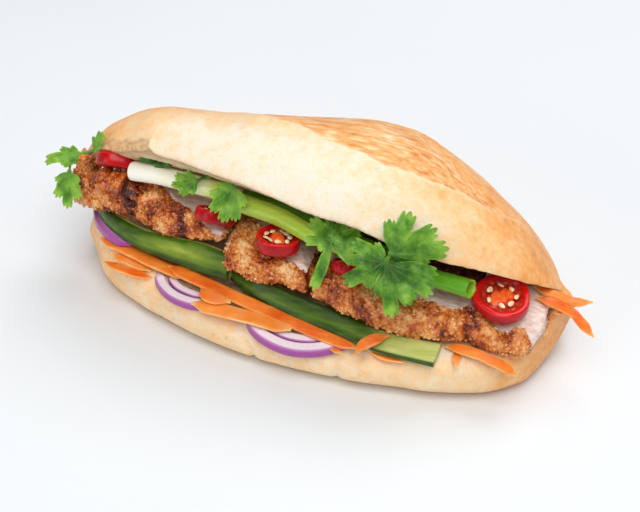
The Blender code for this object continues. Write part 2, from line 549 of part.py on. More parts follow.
def make_blade(name, collection, green, centre, tip, facing, half_width, stalk_end, wave_start):
    """Thin wavy blade and its stalk, still two objects."""
    middle, normal = Vector(centre), Vector(facing).normalized()
    ahead = Vector(tip) - middle
    ahead -= normal * ahead.dot(normal)
    reach = ahead.length
    ahead.normalize()
    side = normal.cross(ahead)

    def place(u, v, lift):
        wave = LEAF_WAVE * math.sin(0.55 * u + wave_start) * math.cos(0.45 * v + 2 * wave_start)
        droop = LEAF_DROOP * (u * u + v * v)
        return below_cut(middle + ahead * u + side * v + normal * (wave - droop)) + normal * lift

    bm = bmesh.new()
    sheets = []
    for lift in (LEAF_THICKNESS / 2, -LEAF_THICKNESS / 2):
        hub = bm.verts.new(place(0, 0, lift))
        rows = []
        for ring in LEAF_RINGS:
            turns = [2 * math.pi * k / LEAF_POINTS - math.pi for k in range(LEAF_POINTS)]
            lengths = [ring * leaf_edge(turn, wave_start) for turn in turns]
            wide = half_width * LEAF_WIDENING
            spots = [(n * reach * math.cos(turn), n * wide * math.sin(turn))
                     for turn, n in zip(turns, lengths)]
            rows.append([bm.verts.new(place(u, v, lift)) for u, v in spots])
        for k in range(LEAF_POINTS):
            j = (k + 1) % LEAF_POINTS
            bm.faces.new((hub, rows[0][k], rows[0][j]))
            for near, far in zip(rows, rows[1:]):
                bm.faces.new((near[k], far[k], near[j]))
                bm.faces.new((near[j], far[k], far[j]))
        sheets.append(rows)
    top, bottom = sheets[0][-1], sheets[1][-1]
    for k in range(LEAF_POINTS):
        j = (k + 1) % LEAF_POINTS
        bm.faces.new((top[k], top[j], bottom[j], bottom[k]))
    blade = make_object(name, bm, green, collection)
    inside = place(0.1 * reach, 0, 0)
    bend = (Vector(stalk_end) + inside) / 2 + normal * 0.6
    path = along([stalk_end, tuple(bend), tuple(inside)], 4)
    rings = strip_rings(path, [2 * STALK_RADIUS] * 4, [2 * STALK_RADIUS] * 4, [0] * 4, STALK_SIDES, 1.0)
    return blade, make_object(name + "_stalk", loft(rings), green, collection)


def make_coriander(collection, green):
    """Leaves, each with the stalk that holds it, and the sprig of four blades on one stalk."""
    for name, blades in LEAVES.items():
        pieces = []
        for number, blade in enumerate(blades):
            pieces.extend(make_blade("%s_%d" % (name, number), collection, green, *blade))
        union(name, collection, pieces)


def main():
    """The whole sandwich, in one collection."""
    for obj in list(bpy.data.objects):
        bpy.data.objects.remove(obj)
    collection = bpy.data.collections.new("banh_mi")
    bpy.context.scene.collection.children.link(collection)
    make_roll(collection, material("bread_crust", "#E0B67A", 0.7))
    make_cutlets(collection, material("fried_crumb", "#B06A35", 0.6))
    make_cucumbers(collection, material("cucumber_skin", "#3F6A2A", 0.4))
    make_carrots(collection, material("carrot_flesh", "#F0873A", 0.45))
    make_onions(collection, material("red_onion", "#B77FB5", 0.4))
    make_chillies(collection, material("chilli_flesh", "#C8151A", 0.3))
    make_spring_onion(collection, material("spring_onion_flesh", "#A8C860", 0.4))
    make_coriander(collection, material("coriander_leaf", "#5E9A45", 0.5))


main()
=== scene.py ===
"""The look of a banh mi: a crusty roll folded open over crumbed cutlet, salad and coriander.

Sizes are millimetres unless a comment says otherwise.
+X runs along the roll, -Y is its open side and +Z is up.
"""
import math
import random

import bmesh
import bpy
import numpy as np
from mathutils import Matrix, Vector, noise


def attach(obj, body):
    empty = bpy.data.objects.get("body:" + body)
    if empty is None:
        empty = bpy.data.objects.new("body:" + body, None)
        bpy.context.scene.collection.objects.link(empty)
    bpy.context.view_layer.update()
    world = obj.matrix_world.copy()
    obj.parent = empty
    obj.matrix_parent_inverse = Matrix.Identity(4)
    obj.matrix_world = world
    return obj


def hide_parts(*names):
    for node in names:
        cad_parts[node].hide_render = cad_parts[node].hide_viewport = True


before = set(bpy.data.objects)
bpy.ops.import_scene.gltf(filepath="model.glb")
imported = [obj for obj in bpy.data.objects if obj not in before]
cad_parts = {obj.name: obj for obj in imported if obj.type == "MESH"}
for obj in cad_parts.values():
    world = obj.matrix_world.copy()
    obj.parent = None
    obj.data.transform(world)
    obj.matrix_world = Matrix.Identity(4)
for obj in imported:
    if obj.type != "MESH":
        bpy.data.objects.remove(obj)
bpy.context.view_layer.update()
MM = 0.001

# The roll, as (x, value) along its length
ROLL_TIPS = (-102.0, 104.0)
FRONT_EDGE = [(-104, 9.5), (-98, 3.5), (-90, -8), (-78, -18), (-60, -28), (-38, -37), (-10, -43),
              (20, -46), (50, -46), (72, -42), (88, -31), (98, -12), (104, 2.5)]
BACK_EDGE = [(-104, 10.5), (-98, 24), (-90, 30), (-78, 35), (-60, 38), (-38, 40), (-10, 41),
             (20, 41), (50, 40), (72, 36), (88, 26.5), (98, 10.5), (104, 3.2)]
LOWER_LIP_Z = [(-104, 12), (-98, 16.6), (-88, 18), (-60, 18), (-30, 16), (5, 13.5), (25, 15), (45, 18),
               (62, 20), (82, 20), (92, 22), (98, 25), (101, 26), (104, 20)]
LOWER_BACK_Z = [(-104, 17), (-98, 20), (0, 21), (92, 21), (98, 22), (101, 22), (104, 19)]
UNDERSIDE_Z = [(-104, 15.5), (-101, 10), (-97, 5.5), (-90, 2), (-80, 0), (88, 0), (95, 3), (100, 8),
               (104, 18.5)]
UPPER_LIP_Y = [(-101, 11), (-97, 6), (-90, 0), (-79, -7), (-64, -14), (-48, -19), (-29, -24), (-12, -27),
               (4, -30), (19, -30.5), (35, -32), (53, -31), (69, -27), (83, -21), (94, -12), (98, -4.5)]
UPPER_LIP_Z = [(-101, 52), (-97, 57), (-90, 63), (-79, 69), (-64, 76), (-48, 77.2), (-29, 76.6), (-12, 74),
               (4, 71), (19, 68.5), (35, 64), (53, 59), (69, 54), (83, 47), (94, 38.4), (98, 32)]
HINGE_Y = [(-101, 13), (-97, 21), (-90, 27), (-79, 32), (-60, 35), (-38, 37), (20, 38), (50, 37),
           (72, 33), (88, 24), (94.5, 14), (98, 1.5)]
HINGE_Z = [(-101, 50), (-97, 38), (-90, 24), (-84, 19), (-72, 17), (0, 17), (88, 19), (94, 21.5), (98, 27)]
UPPER_THICKNESS = [(-101, 1), (-97, 8.5), (-90, 18.5), (-76, 25.5), (-58, 27.8), (-36, 30.6), (-15, 35.4),
                   (8, 40), (20, 41), (30, 41), (39, 39.5), (54, 33), (69, 24.2), (80, 17.4), (88, 11),
                   (94.5, 4.8), (98, 1)]

# How square the roll's sections are, as powers of a sine or cosine, and how flat its foot is
LOWER_FLANK = 0.45
LOWER_WIDTH = 0.8
UPPER_FLANK = 0.75
LOWER_FLAT = 1.04

# Bulge of the lower flanks, sag of the cut and swell behind the lip, all full from this half width
LOWER_BULGE = 4.0
CUT_SAG = 1.5
LIP_SWELL = 3.4
LIP_SWELL_WIDTH = 7.0
FULL_FORM_HALF_WIDTH = 20.0

# Bites out of the upper lip: (x, depth, width), and the depth of the crease above it
LIP_BITES = [(-64.5, 2.6, 1.6), (-72, 0.9, 6)]
CREASE_DEPTH = 0.5

# The cut shows crumb between these places, and crust at the roll's tips
CRUMB_FROM, CRUMB_TO = -92, 95

# Where the upper crust is palest, as (x, turn in degrees), and how far off it is golden on each side
PALEST = (-22, 8)
GOLDEN_LEFT = (46, 45)
GOLDEN_RIGHT = (76, 38)

# Folds in the lower crust's front: (x, lean with height, depth, width)
FOLDS = [(-14, 0.5, 1.6, 1.5), (17, -0.3, 1.3, 1.4)]

# Sections of the roll, points round its crust, across its cut and at its lip, and how lips are softened
ROLL_RINGS = 250
CRUST_POINTS_LOWER = 110
CRUST_POINTS_UPPER = 150
CUT_POINTS = 40
LIP_POINTS = 6
LOWER_LIP_ROUNDS = 60
UPPER_LIP_ROUNDS = 3
LIP_SOFTNESS = 5.0

# The slash: its front ridge and its rear edge, as turns in degrees round the upper crust from the lip
SLASH_RIDGE = [(-36, 70), (-28, 57), (-11, 47), (1, 41), (11, 36), (25, 32), (41, 36), (52, 42), (62, 47),
               (71, 54), (80, 78)]
SLASH_REAR = [(-36, 80), (-20, 92), (0, 98), (30, 96), (42, 86), (57, 76), (70, 70), (80, 80)]
SLASH_FROM, SLASH_TO = -42.0, 84.0
SLASH_FADE = 20.0
SLASH_RIDGE_HEIGHT = 2.0
SLASH_REAR_HEIGHT = 0.78
SLASH_DEPTH = 0.6

# Where the cutlet was sliced, its flesh shows behind this line: (x, y)
FLESH_FRONT = [(-108, 60), (-74, 60), (-66, 2), (-61, -6), (-48, -12.5), (-38, -20), (-31, -26), (-30, -6),
               (-20, -10), (-10, -20), (-5, -26), (4, -27), (5, -20), (17, -22), (33, -27), (45, -27),
               (55, -29), (70, -27), (79, -29.5), (87, -27), (91, -28), (95, -45)]

# Cracks across the coat, where it breaks into lumps: (x, depth)
COAT_CRACKS = [(-74.5, 1.4), (-51, 1.1), (24, 0.8), (66, 1.6)]
CRACK_WIDTH = 1.8

# How the coat was fried: (x, share), paler where the share is higher
COAT_SHADE = [(-108, 0.12), (-90, 0.04), (-80, 0.04), (-68, 0.1), (-54, 0.08), (-46, 0.26), (-34, 0.2),
              (-30, 0.14), (-20, 0.2), (0, 0.18), (6, 0.1), (30, 0.14), (60, 0.18), (70, 0.08), (84, 0.22)]

# How far the coat hangs down in front of the slice: (x, share), and the most forward and down
COAT_HANG = [(8, 0), (20, 0.4), (55, 0.55), (64, 0.45), (72, 0.9), (88, 1), (96, 0.4)]
HANG_FORWARD = 3.4
HANG_DOWN = 5.0

# How far the left strip's top rises, and how much of that its tip loses
LEFT_STRIP_RISE = 6.2
LEFT_TIP_DROP = 6.6

# How deep the coat and the flesh lie under the strip's plain form
COAT_SUNK = 0.45
FLESH_SUNK = 0.7

# Grid of the cutlet's mesh, the share of its points with a loose crumb, and the sizes of crumbs
CUTLET_VOXEL = 0.6
CRUMB_SHARE = 0.16
CRUMB_LEAST, CRUMB_MOST, CRUMB_USUAL = 0.3, 1.05, 0.45

# Cucumber slices: centre line, (x, height of the skin face), thickness, (x, lean in degrees)
CUCUMBERS = {
    "cucumber_left": (
        [(-94, 1, 31.8), (-84, -7, 32.2), (-70, -14, 31.9), (-54, -18.5, 32.8), (-38, -23.6, 34.6),
         (-30, -25.6, 35.2)],
        [(-94, 3), (-88, 6.5), (-70, 8.8), (-54, 10.6), (-42, 12.5), (-32.5, 11)], 4.6,
        [(-94, 78), (-32, 72)]),
    "cucumber_right": (
        [(-30, -20.5, 27.6), (-18, -27.5, 28), (-3, -32, 26.2), (17, -36.4, 24.4), (36, -41, 22.8),
         (57, -43.6, 23.4)],
        [(-30, 6), (-18, 8), (0, 8.6), (40, 9.6), (57, 10.4)], 3.8,
        [(-30, 62), (0, 50), (20, 30), (40, 16), (57, 10)]),
}
CUCUMBER_SQUARENESS = 0.55

# Shreds of carrot: points along each, width, thickness, lean in degrees
CARROTS = [
    ([(-91, -8, 23.4), (-78, -13, 23.9), (-63, -19, 24), (-48, -24.2, 24.2)], 3.6, 1.8, 12),
    ([(-84, -13.6, 21), (-75, -17, 21.2), (-65, -20.4, 21.2)], 3.4, 1.4, 4),
    ([(-86, -18, 20), (-75, -21.6, 20.2), (-64, -23, 20)], 3.2, 1.4, 0),
    ([(-72, -9.4, 23.2), (-63, -13.4, 22.6), (-54.5, -17.4, 22.4)], 3.2, 1.5, 0),
    ([(-57, -21, 26), (-43, -27, 26.6), (-24, -32.6, 25.2), (-2, -37.5, 22.5), (14, -41.4, 21),
      (25.6, -43.8, 20.4)], 3.6, 1.8, 16),
    ([(-31, -28.6, 22.6), (-15.6, -32, 22), (1.3, -36, 20.6), (8.8, -38, 20)], 3.2, 1.4, 5),
    ([(-43, -36, 22.2), (-33, -37.4, 22.6), (-22, -38.8, 22.6), (-10, -40, 22.2), (-1, -41, 21.6)],
     4.4, 1.3, 12),
    ([(-40, -30.4, 26), (-38.8, -33.4, 26.4), (-34.6, -34.8, 26), (-27, -35, 25.2)], 4.2, 1.2, 24),
    ([(29.3, -41, 18.2), (37, -44, 18.8), (44.5, -46.4, 19.6)], 3.0, 1.3, 0),
    ([(26.4, -48.8, 21.6), (27.6, -47.4, 24.4), (30, -45.4, 25.6), (33.5, -43, 26.4), (37.4, -40, 26.4)],
     3.2, 1.4, 20),
    ([(59, -38, 23.4), (64, -38.6, 24.2), (71.7, -40, 24.2), (77.4, -41, 23), (82.7, -41, 20.8),
      (87.6, -41, 17.4)], 3.0, 1.3, 20),
    ([(63.2, -36.4, 21.4), (64, -41, 21.6), (65, -45.9, 21)], 3.2, 1.1, 0),
    ([(15, -44.6, 18.8), (18, -46, 19.2), (21, -47.4, 20)], 2.8, 1.2, 10),
    ([(87.6, -9.4, 36), (95.2, -11, 35), (102.3, -11, 32.8), (111, -8, 31.4)], 2.6, 1.7, 12),
    ([(89.5, -14.6, 35), (96.9, -15, 33.6), (103.3, -15, 31), (108, -18.6, 29.6), (113.6, -24.6, 28.4)],
     2.7, 1.6, 20),
    ([(97.6, -16.4, 30), (99.6, -14.6, 29.2), (101, -12.4, 28.4)], 2.6, 1.3, 0),
    ([(-108, 13, 31), (-104.6, 8, 30.4), (-101.6, 3.6, 28.6)], 2.8, 1.3, 20),
]
CARROT_SQUARENESS = 0.3
CARROT_FULLNESS = 1.38
CARROT_STEP = 0.7
CARROT_TAPER = 6.0

# Red onion: centre, radius, first and last angle, width, height, slope, how purple the inner edge is
ONIONS = {
    "onion_left": ((-72, 12, 27.6), 27, 172, 262, 4.0, 4.2, 0.03, 0.8),
    "onion_middle": ((-42.5, -14, 21), 22.4, 197, 290, 4.4, 3.6, 0.05, 0),
    "onion_middle_core": ((-42.5, -14, 21), 17.4, 204, 280, 3.6, 2.8, 0.05, 0),
    "onion_right": ((1.5, -20.5, 21.8), 28.6, 208, 330, 4.6, 4.0, 0.18, 0),
    "onion_right_core": ((1.5, -20.5, 21.6), 23.4, 216, 306, 3.8, 3.2, 0.18, 0),
}
ONION_SQUARENESS = 0.4

# Rings of chilli: middle of the top face, radius, height, turn about X and Y in degrees, seeds
CHILLIES = {
    "chilli_end": ((-83.6, 1.9, 59.7), 8.4, 5.0, -46, 0, 3),
    "chilli_left": ((-38.4, -13, 52.4), 8.0, 5.0, -34, 5, 4),
    "chilli_middle": ((-10.5, -23, 53), 8.5, 5.4, -10, 4, 9),
    "chilli_half": ((18, -24.4, 46.4), 6.8, 4.4, -34, 3, 4),
    "chilli_right": ((77.5, -23.6, 41.6), 11.0, 4.8, 6, 4, 7),
}

# How wide a chilli ring is inside its wall, as a share of its radius
CHILLI_WALL = 0.745

# Chilli seeds: least and greatest length and width, and thickness
SEED_LENGTH = (2.7, 3.2)
SEED_WIDTH = (1.7, 2.1)
SEED_THICKNESS = 0.9

# Spring onion: centre line, radius at points along it
SPRING_ONION_PATH = [(-76, -5.3, 59), (-60, -8.5, 61.2), (-39, -11.5, 60.8), (-27, -15.5, 59.6),
                     (-12, -18.5, 58.4), (5, -24, 56), (28, -25, 50), (50, -25.5, 45.8), (66, -28, 45.6)]
SPRING_ONION_RADIUS = [(-76, 2.6), (-75, 3.9), (-60, 3.8), (-27, 3.7), (5, 3.5), (40, 3.3), (66, 3.6)]
STEM_RIBS = 7
STEM_RIB_HEIGHT = 0.03

# How green the stem is: (x, share)
STEM_GREEN = [(-66, 0), (-46, 0.2), (-30, 0.5), (5, 0.6), (30, 0.8), (66, 0.88)]

# The stem's cut end: sections that lean with the cut, its slant and raggedness
SLANTED_RINGS = 15
CUT_SLANT = 0.32
CUT_RAGGED = 0.5

# The hollow in the cut end: (depth, share of the radius, how green)
STEM_HOLLOW = [(0.15, 0.84, 0.5), (1.5, 0.8, 0.7), (5, 0.74, 0.95), (9, 0.62, 1.0)]

# The leaf behind the stem: centre line, width, thickness as a share of the width, lean, how green
SPRING_LEAF_PATH = [(-29, -8, 59), (-12, -11, 58), (5, -16.4, 56), (22, -18.5, 51.4), (40, -17.5, 47)]
SPRING_LEAF_WIDTH = 5.0
SPRING_LEAF_THICKNESS = 0.45
SPRING_LEAF_LEAN = 35
SPRING_LEAF_GREEN = 0.85

# Coriander blades: joint with the stalk, facing, seed of the waves, lobes (direction, reach, half width).
# Directions and half widths are degrees as seen from the front, where 0 is right and 90 is up.
CORIANDER = {
    "coriander_end_up": [
        ((-92.8, -0.5, 62.5), (-0.3, -0.9, 0.3), 3, [(64, 10, 15), (92, 6, 14), (40, 4.5, 16)])],
    "coriander_end_arm": [
        ((-100.4, 1.2, 58.4), (0, -0.5, 0.85), 5,
         [(203, 14.5, 15), (176, 8.5, 16), (228, 8.5, 15), (148, 5, 18), (256, 4.5, 16)])],
    "coriander_end_down": [
        ((-103.6, -2.8, 51.4), (-0.1, -0.85, 0.5), 7,
         [(-90, 15.5, 12), (-66, 12, 13), (-114, 12.5, 13), (-42, 6, 15), (-140, 7, 16)])],
    "coriander_small": [
        ((-45.6, -14.4, 66.3), (0, -0.6, 0.8), 4,
         [(176, 9, 15), (202, 10, 15), (230, 8.5, 15), (258, 5.5, 16), (150, 6, 16)])],
    "coriander_left": [
        ((-29.6, -18.3, 69.4), (0.05, -0.7, 0.7), 6,
         [(-50, 9, 17), (-76, 13.6, 13), (-98, 14.5, 12), (-122, 13, 13), (-148, 9.5, 17), (-178, 6, 18)])],
    "coriander_sprig": [
        ((12.4, -29, 59.7), (0.05, -0.6, 0.8), 9,
         [(68, 10.5, 17), (30, 11.5, 17), (-4, 15.8, 15), (-38, 12.5, 15), (259, 20.5, 9), (228, 7, 14),
          (192, 10.8, 16), (146, 12.5, 17), (108, 9.5, 17)])],
    "coriander_right": [
        ((36.4, -36.6, 64.3), (0.1, -0.86, 0.5), 2,
         [(36, 19.5, 13), (12, 21.6, 14), (72, 17.2, 15), (100, 13, 15), (-14, 15.5, 14), (-36, 10, 14)]),
        ((34.5, -38, 61), (0.05, -0.8, 0.6), 8,
         [(158, 14.4, 15), (186, 14, 13), (216, 17.6, 14), (242, 12.5, 14), (126, 8, 18)]),
        ((35.6, -39.4, 61.2), (0.0, -0.8, 0.6), 1,
         [(-3, 19.5, 12), (-25, 20.5, 12), (-50, 18, 14), (-77, 20.5, 12), (-99, 13, 13)])],
    "coriander_under_lip": [
        ((-55.4, -7.2, 67.4), (0, -0.75, 0.66), 12,
         [(180, 17, 7), (168, 12, 9), (193, 10, 9), (150, 5, 14)])],
}

# Where each blade's stalk starts, and how thick it is there
STALKS = {
    "coriander_end_up": [(-94.6, 1, 60.6)],
    "coriander_end_arm": [(-95, 2, 59.2)],
    "coriander_end_down": [(-103, 0.2, 57)],
    "coriander_small": [(-41, -11, 67)],
    "coriander_left": [(-30, -14, 71)],
    "coriander_sprig": [(19, -24, 58)],
    "coriander_right": [(44, -30, 60), (36.4, -34, 62.6), (36.4, -34, 62.6)],
    "coriander_under_lip": [(-50.4, -6.2, 63.4)],
}
STALK_THICKNESS = 1.3
STALK_POINTS = 18

# Blades: thickness, points round them and from joint to edge, droop, and how dark some of them are, the one
# under the lip as painted shade
LEAF_THICKNESS = 0.4
LEAF_TURNS = 216
LEAF_STEPS = 12
LEAF_DROOP = 0.004
LEAF_TONE_AND_PAINTED_SHADE = {"coriander_under_lip": 1.1, "coriander_right": 0.5, "coriander_sprig": 0.1}

# Each lobe's outline is the widest of these: (how much wider, share of its reach), cut into teeth
LOBE_STEPS = [(1.3, 1.0), (1.9, 0.7)]
LOBE_ROUNDNESS = 0.45
TOOTH_DEPTH = 0.14

# Veins: half width at the joint, bend, and how far they run as a share of the lobe
VEIN_WIDTH = 0.34
VEIN_BEND = 0.014
VEIN_REACH = 0.92

# Lamps: name, place and size in metres, watts, tint
LAMPS = [
    ("soft box in front", (0.28, -0.75, 1.5), 1.3, 20, "#FFFEFC"),
    ("low card at the left", (-0.75, -0.9, 0.4), 0.8, 3.2, "#FFFAF2"),
    ("soft box behind", (0.3, 0.65, 1.3), 1.0, 10, "#FFFFFF"),
]
ROOM_STRENGTH = 0.24

# Edges that are sharper than this stay sharp, in degrees
SHARP_EDGE = 55


def at(stations, x):
    """Value at x on a smooth curve through the stations, with no overshoot between them."""
    xs = [s[0] for s in stations]
    ys = [s[1] for s in stations]
    if x <= xs[0]:
        return ys[0]
    if x >= xs[-1]:
        return ys[-1]
    i = max(j for j in range(len(xs) - 1) if xs[j] <= x)

    def step(j):
        return (ys[j + 1] - ys[j]) / (xs[j + 1] - xs[j])

    def slope(j):
        if j == 0 or j == len(xs) - 1:
            return step(min(j, len(xs) - 2))
        before, after = step(j - 1), step(j)
        return 0.0 if before * after <= 0 else 2 * before * after / (before + after)

    width = xs[i + 1] - xs[i]
    t = (x - xs[i]) / width
    rise = slope(i) * width * t * (1 - t) ** 2 - slope(i + 1) * width * t * t * (1 - t)
    return ys[i] * (1 + 2 * t) * (1 - t) ** 2 + ys[i + 1] * t * t * (3 - 2 * t) + rise


def along(points, count):
    """Points evenly spread on a smooth curve through the given points."""
    lengths = [0.0]
    for a, b in zip(points, points[1:]):
        lengths.append(lengths[-1] + (Vector(b) - Vector(a)).length)
    curves = [[(s, p[k]) for s, p in zip(lengths, points)] for k in range(3)]
    return [Vector([at(c, lengths[-1] * i / (count - 1)) for c in curves]) for i in range(count)]


def ease(value, low, high):
    """0 below low, 1 above high and smooth between them."""
    t = min(1.0, max(0.0, (value - low) / (high - low)))
    return t * t * (3 - 2 * t)


def hump(value, middle, width):
    """1 at the middle, falling smoothly to 0 within about twice the width."""
    return math.exp(-((value - middle) / width) ** 2)


def grain(x, y, z, size):
    """Noise between about -1 and 1 whose lumps are as large as size."""
    return noise.noise(Vector((x, y, z)) / size)


def signed_power(value, power):
    """Power that keeps the sign: below 1 it squares off a round section."""
    return math.copysign(abs(value) ** power, value)


def corner_turns(corners):
    """Turns round a section to each of its corners."""
    return [math.tau * (k + 0.5) / corners for k in range(corners)]


def linear(code):
    """Linear colour of an sRGB hex code."""
    channels = [int(code[i:i + 2], 16) / 255 for i in (1, 3, 5)]
    return [c / 12.92 if c <= 0.04045 else ((c + 0.055) / 1.055) ** 2.4 for c in channels] + [1.0]


def connect(mat, node, inputs):
    """Fill a node's inputs: an output is linked, a hex code becomes a colour, other values are set."""
    for socket, value in inputs.items():
        if isinstance(value, bpy.types.NodeSocket):
            mat.node_tree.links.new(value, node.inputs[socket])
        else:
            node.inputs[socket].default_value = linear(value) if isinstance(value, str) else value


def add(mat, kind, inputs, stops=(), **settings):
    """Outputs of a new node of a kind, with its settings, its inputs and the stops of its ramp."""
    node = mat.node_tree.nodes.new("ShaderNode" + kind)
    for name, value in settings.items():
        setattr(node, name, value)
    connect(mat, node, inputs)
    for number, (position, code) in enumerate(stops):
        ramp = node.color_ramp.elements
        element = ramp[number] if number < len(ramp) else ramp.new(position)
        element.position = position
        element.color = linear(code)
    return node.outputs


def start(name):
    """New material, and each point's place on the object for its patterns."""
    mat = bpy.data.materials.new(name)
    mat.use_nodes = True
    return mat, add(mat, "TexCoord", {})["Object"]


def finish(mat, inputs):
    """The material, once its shader has its colour, relief and uniform values."""
    connect(mat, mat.node_tree.nodes["Principled BSDF"], inputs)
    return mat


def lumps(size):
    """Texture scale whose lumps are as large as size in millimetres."""
    return 1 / (size * MM)


def glow(weight, reach):
    """Light that spreads under a surface: its weight, and how far its red, green and blue reach."""
    return {"Subsurface Weight": weight, "Subsurface Radius": [c * MM for c in reach],
            "Subsurface Scale": 1.0}


def clouded(name, size, stops, values, raised=0.0):
    """Finish in shades of one colour, in clouds of a size that may be raised a little."""
    mat, spot = start(name)
    cloud = add(mat, "TexNoise", {"Vector": spot, "Scale": lumps(size)})["Fac"]
    colour = add(mat, "ValToRGB", {"Fac": cloud}, stops=stops)["Color"]
    if raised:
        values["Normal"] = add(mat, "Bump", {"Height": cloud, "Distance": raised * MM})[0]
    return finish(mat, {"Base Color": colour, **values})


def baked_crust():
    """Wheat crust, oven baked: cream where sheltered, golden above, torn and streaked in the slash."""
    mat, spot = start("oven-baked wheat crust")
    mottle = add(mat, "TexNoise", {"Vector": spot, "Scale": lumps(10), "Detail": 8.0,
                                   "Roughness": 0.6})["Fac"]
    # Pores are about 0.3 mm wide, and are drawn five times as coarse to show
    pores = add(mat, "TexNoise", {"Vector": spot, "Scale": lumps(1.5), "Detail": 4.0})["Fac"]
    bake = add(mat, "Attribute", {}, attribute_name="bake")["Fac"]
    blotched = add(mat, "Math", {0: mottle, 1: 0.45, 2: bake}, operation="MULTIPLY_ADD")[0]
    freckles = add(mat, "TexNoise", {"Vector": spot, "Scale": lumps(3.5), "Detail": 8.0, "Roughness": 0.7})
    freckled = add(mat, "Math", {0: freckles["Fac"], 1: 0.6, 2: blotched}, operation="MULTIPLY_ADD")[0]
    tone = add(mat, "Math", {0: freckled, 1: 0.15}, operation="SUBTRACT")[0]
    golden = add(mat, "ValToRGB", {"Fac": tone}, stops=[
        (0.24, "#EAE3D6"), (0.4, "#F0E2CA"), (0.57, "#F6D3A4"), (0.72, "#F8C488"), (0.86, "#F5A95C"),
        (1.0, "#E0964C")])["Color"]
    # Streaks are a slash's torn strands, about 2 mm wide and 7 mm long
    drawn_out = add(mat, "Mapping", {"Vector": spot, "Scale": (0.25, 1, 1), "Rotation": (0, 0, 0.5)})[0]
    streaks = add(mat, "TexNoise", {"Vector": drawn_out, "Scale": lumps(1.8), "Detail": 6.0})["Fac"]
    patched = add(mat, "Math", {0: mottle, 1: 0.5, 2: streaks}, operation="MULTIPLY_ADD")[0]
    torn_tone = add(mat, "ValToRGB", {"Fac": patched}, stops=[
        (0.54, "#D6843E"), (0.68, "#EFA55E"), (0.84, "#F9C384"), (1.0, "#FDE2BA")])["Color"]
    torn = add(mat, "Attribute", {}, attribute_name="torn")["Fac"]
    crust = add(mat, "Mix", {0: torn, 6: golden, 7: torn_tone}, data_type="RGBA")[2]
    crest = add(mat, "Attribute", {}, attribute_name="crest")["Fac"]
    ridged = add(mat, "Mix", {0: crest, 6: crust, 7: "#FBE3C0"}, data_type="RGBA")[2]
    crumbly = add(mat, "ValToRGB", {"Fac": pores}, stops=[(0.35, "#A8754A"), (0.65, "#E3B98A")])["Color"]
    edge = add(mat, "Attribute", {}, attribute_name="edge")["Fac"]
    frayed = add(mat, "Mix", {0: edge, 6: ridged, 7: crumbly}, data_type="RGBA")[2]
    specks = add(mat, "TexNoise", {"Vector": spot, "Scale": lumps(2.2), "Detail": 2.0})["Fac"]
    scorched = add(mat, "MapRange", {"Value": specks, "From Min": 0.68, "From Max": 0.8,
                                     "To Max": 0.55})[0]
    colour = add(mat, "Mix", {0: scorched, 6: frayed, 7: "#B97A3E"}, data_type="RGBA")[2]
    rough = add(mat, "Math", {0: streaks, 1: torn, 2: pores}, operation="MULTIPLY_ADD")[0]
    dimpled = add(mat, "Math", {0: freckles["Fac"], 1: 1.1, 2: rough}, operation="MULTIPLY_ADD")[0]
    relief = add(mat, "Bump", {"Height": dimpled, "Distance": 0.3 * MM})[0]
    return finish(mat, {"Base Color": colour, "Normal": relief, "Roughness": 0.48, "IOR": 1.45,
                        **glow(0.1, (2, 1.2, 0.6))})


def bread_crumb():
    """Wheat crumb, cut with a knife: soft cream with open pores, matt."""
    mat, spot = start("cut wheat crumb")
    pores = add(mat, "TexNoise", {"Vector": spot, "Scale": lumps(3), "Detail": 7.0,
                                  "Roughness": 0.7})["Fac"]
    crumb = add(mat, "ValToRGB", {"Fac": pores}, stops=[
        (0.36, "#D2AD80"), (0.48, "#EBD2A6"), (0.62, "#F6E8CD")])["Color"]
    # Browner towards the upper lip, partly toasted crumb at the cut's edge and partly painted shade under
    # the lip
    edge = add(mat, "Attribute", {}, attribute_name="edge")["Fac"]
    colour = add(mat, "Mix", {0: edge, 6: crumb, 7: "#A9794C"}, data_type="RGBA")[2]
    relief = add(mat, "Bump", {"Height": pores, "Distance": 0.6 * MM})[0]
    return finish(mat, {"Base Color": colour, "Normal": relief, "Roughness": 0.85, "IOR": 1.4,
                        **glow(0.15, (2, 1.4, 0.8))})


def fried_crumb():
    """Breadcrumb coat, deep fried: amber to dark brown, with paler grains and an oily shine."""
    mat, spot = start("deep-fried breadcrumb")
    patch = add(mat, "TexNoise", {"Vector": spot, "Scale": lumps(9), "Detail": 5.0})["Fac"]
    # Crumbs are about 1 mm wide
    grains = add(mat, "TexVoronoi", {"Vector": spot, "Scale": lumps(1.3)})
    crag = add(mat, "Attribute", {}, attribute_name="crag")["Fac"]
    fried = add(mat, "Math", {0: patch, 1: 0.9, 2: crag}, operation="MULTIPLY_ADD")[0]
    tone = add(mat, "Math", {0: grains["Distance"], 1: -0.36, 2: fried}, operation="MULTIPLY_ADD")[0]
    colour = add(mat, "ValToRGB", {"Fac": tone}, stops=[
        (0.0, "#461604"), (0.12, "#6E2608"), (0.28, "#9E3E0C"), (0.44, "#C8641A"), (0.62, "#E18C3C"),
        (0.9, "#F5C084")])["Color"]
    relief = add(mat, "Bump", {"Height": grains["Distance"], "Distance": 0.6 * MM})[0]
    return finish(mat, {"Base Color": colour, "Normal": relief, "Roughness": 0.36, "IOR": 1.47,
                        "Coat Weight": 0.3, "Coat Roughness": 0.12, **glow(0.15, (2, 0.8, 0.3))})


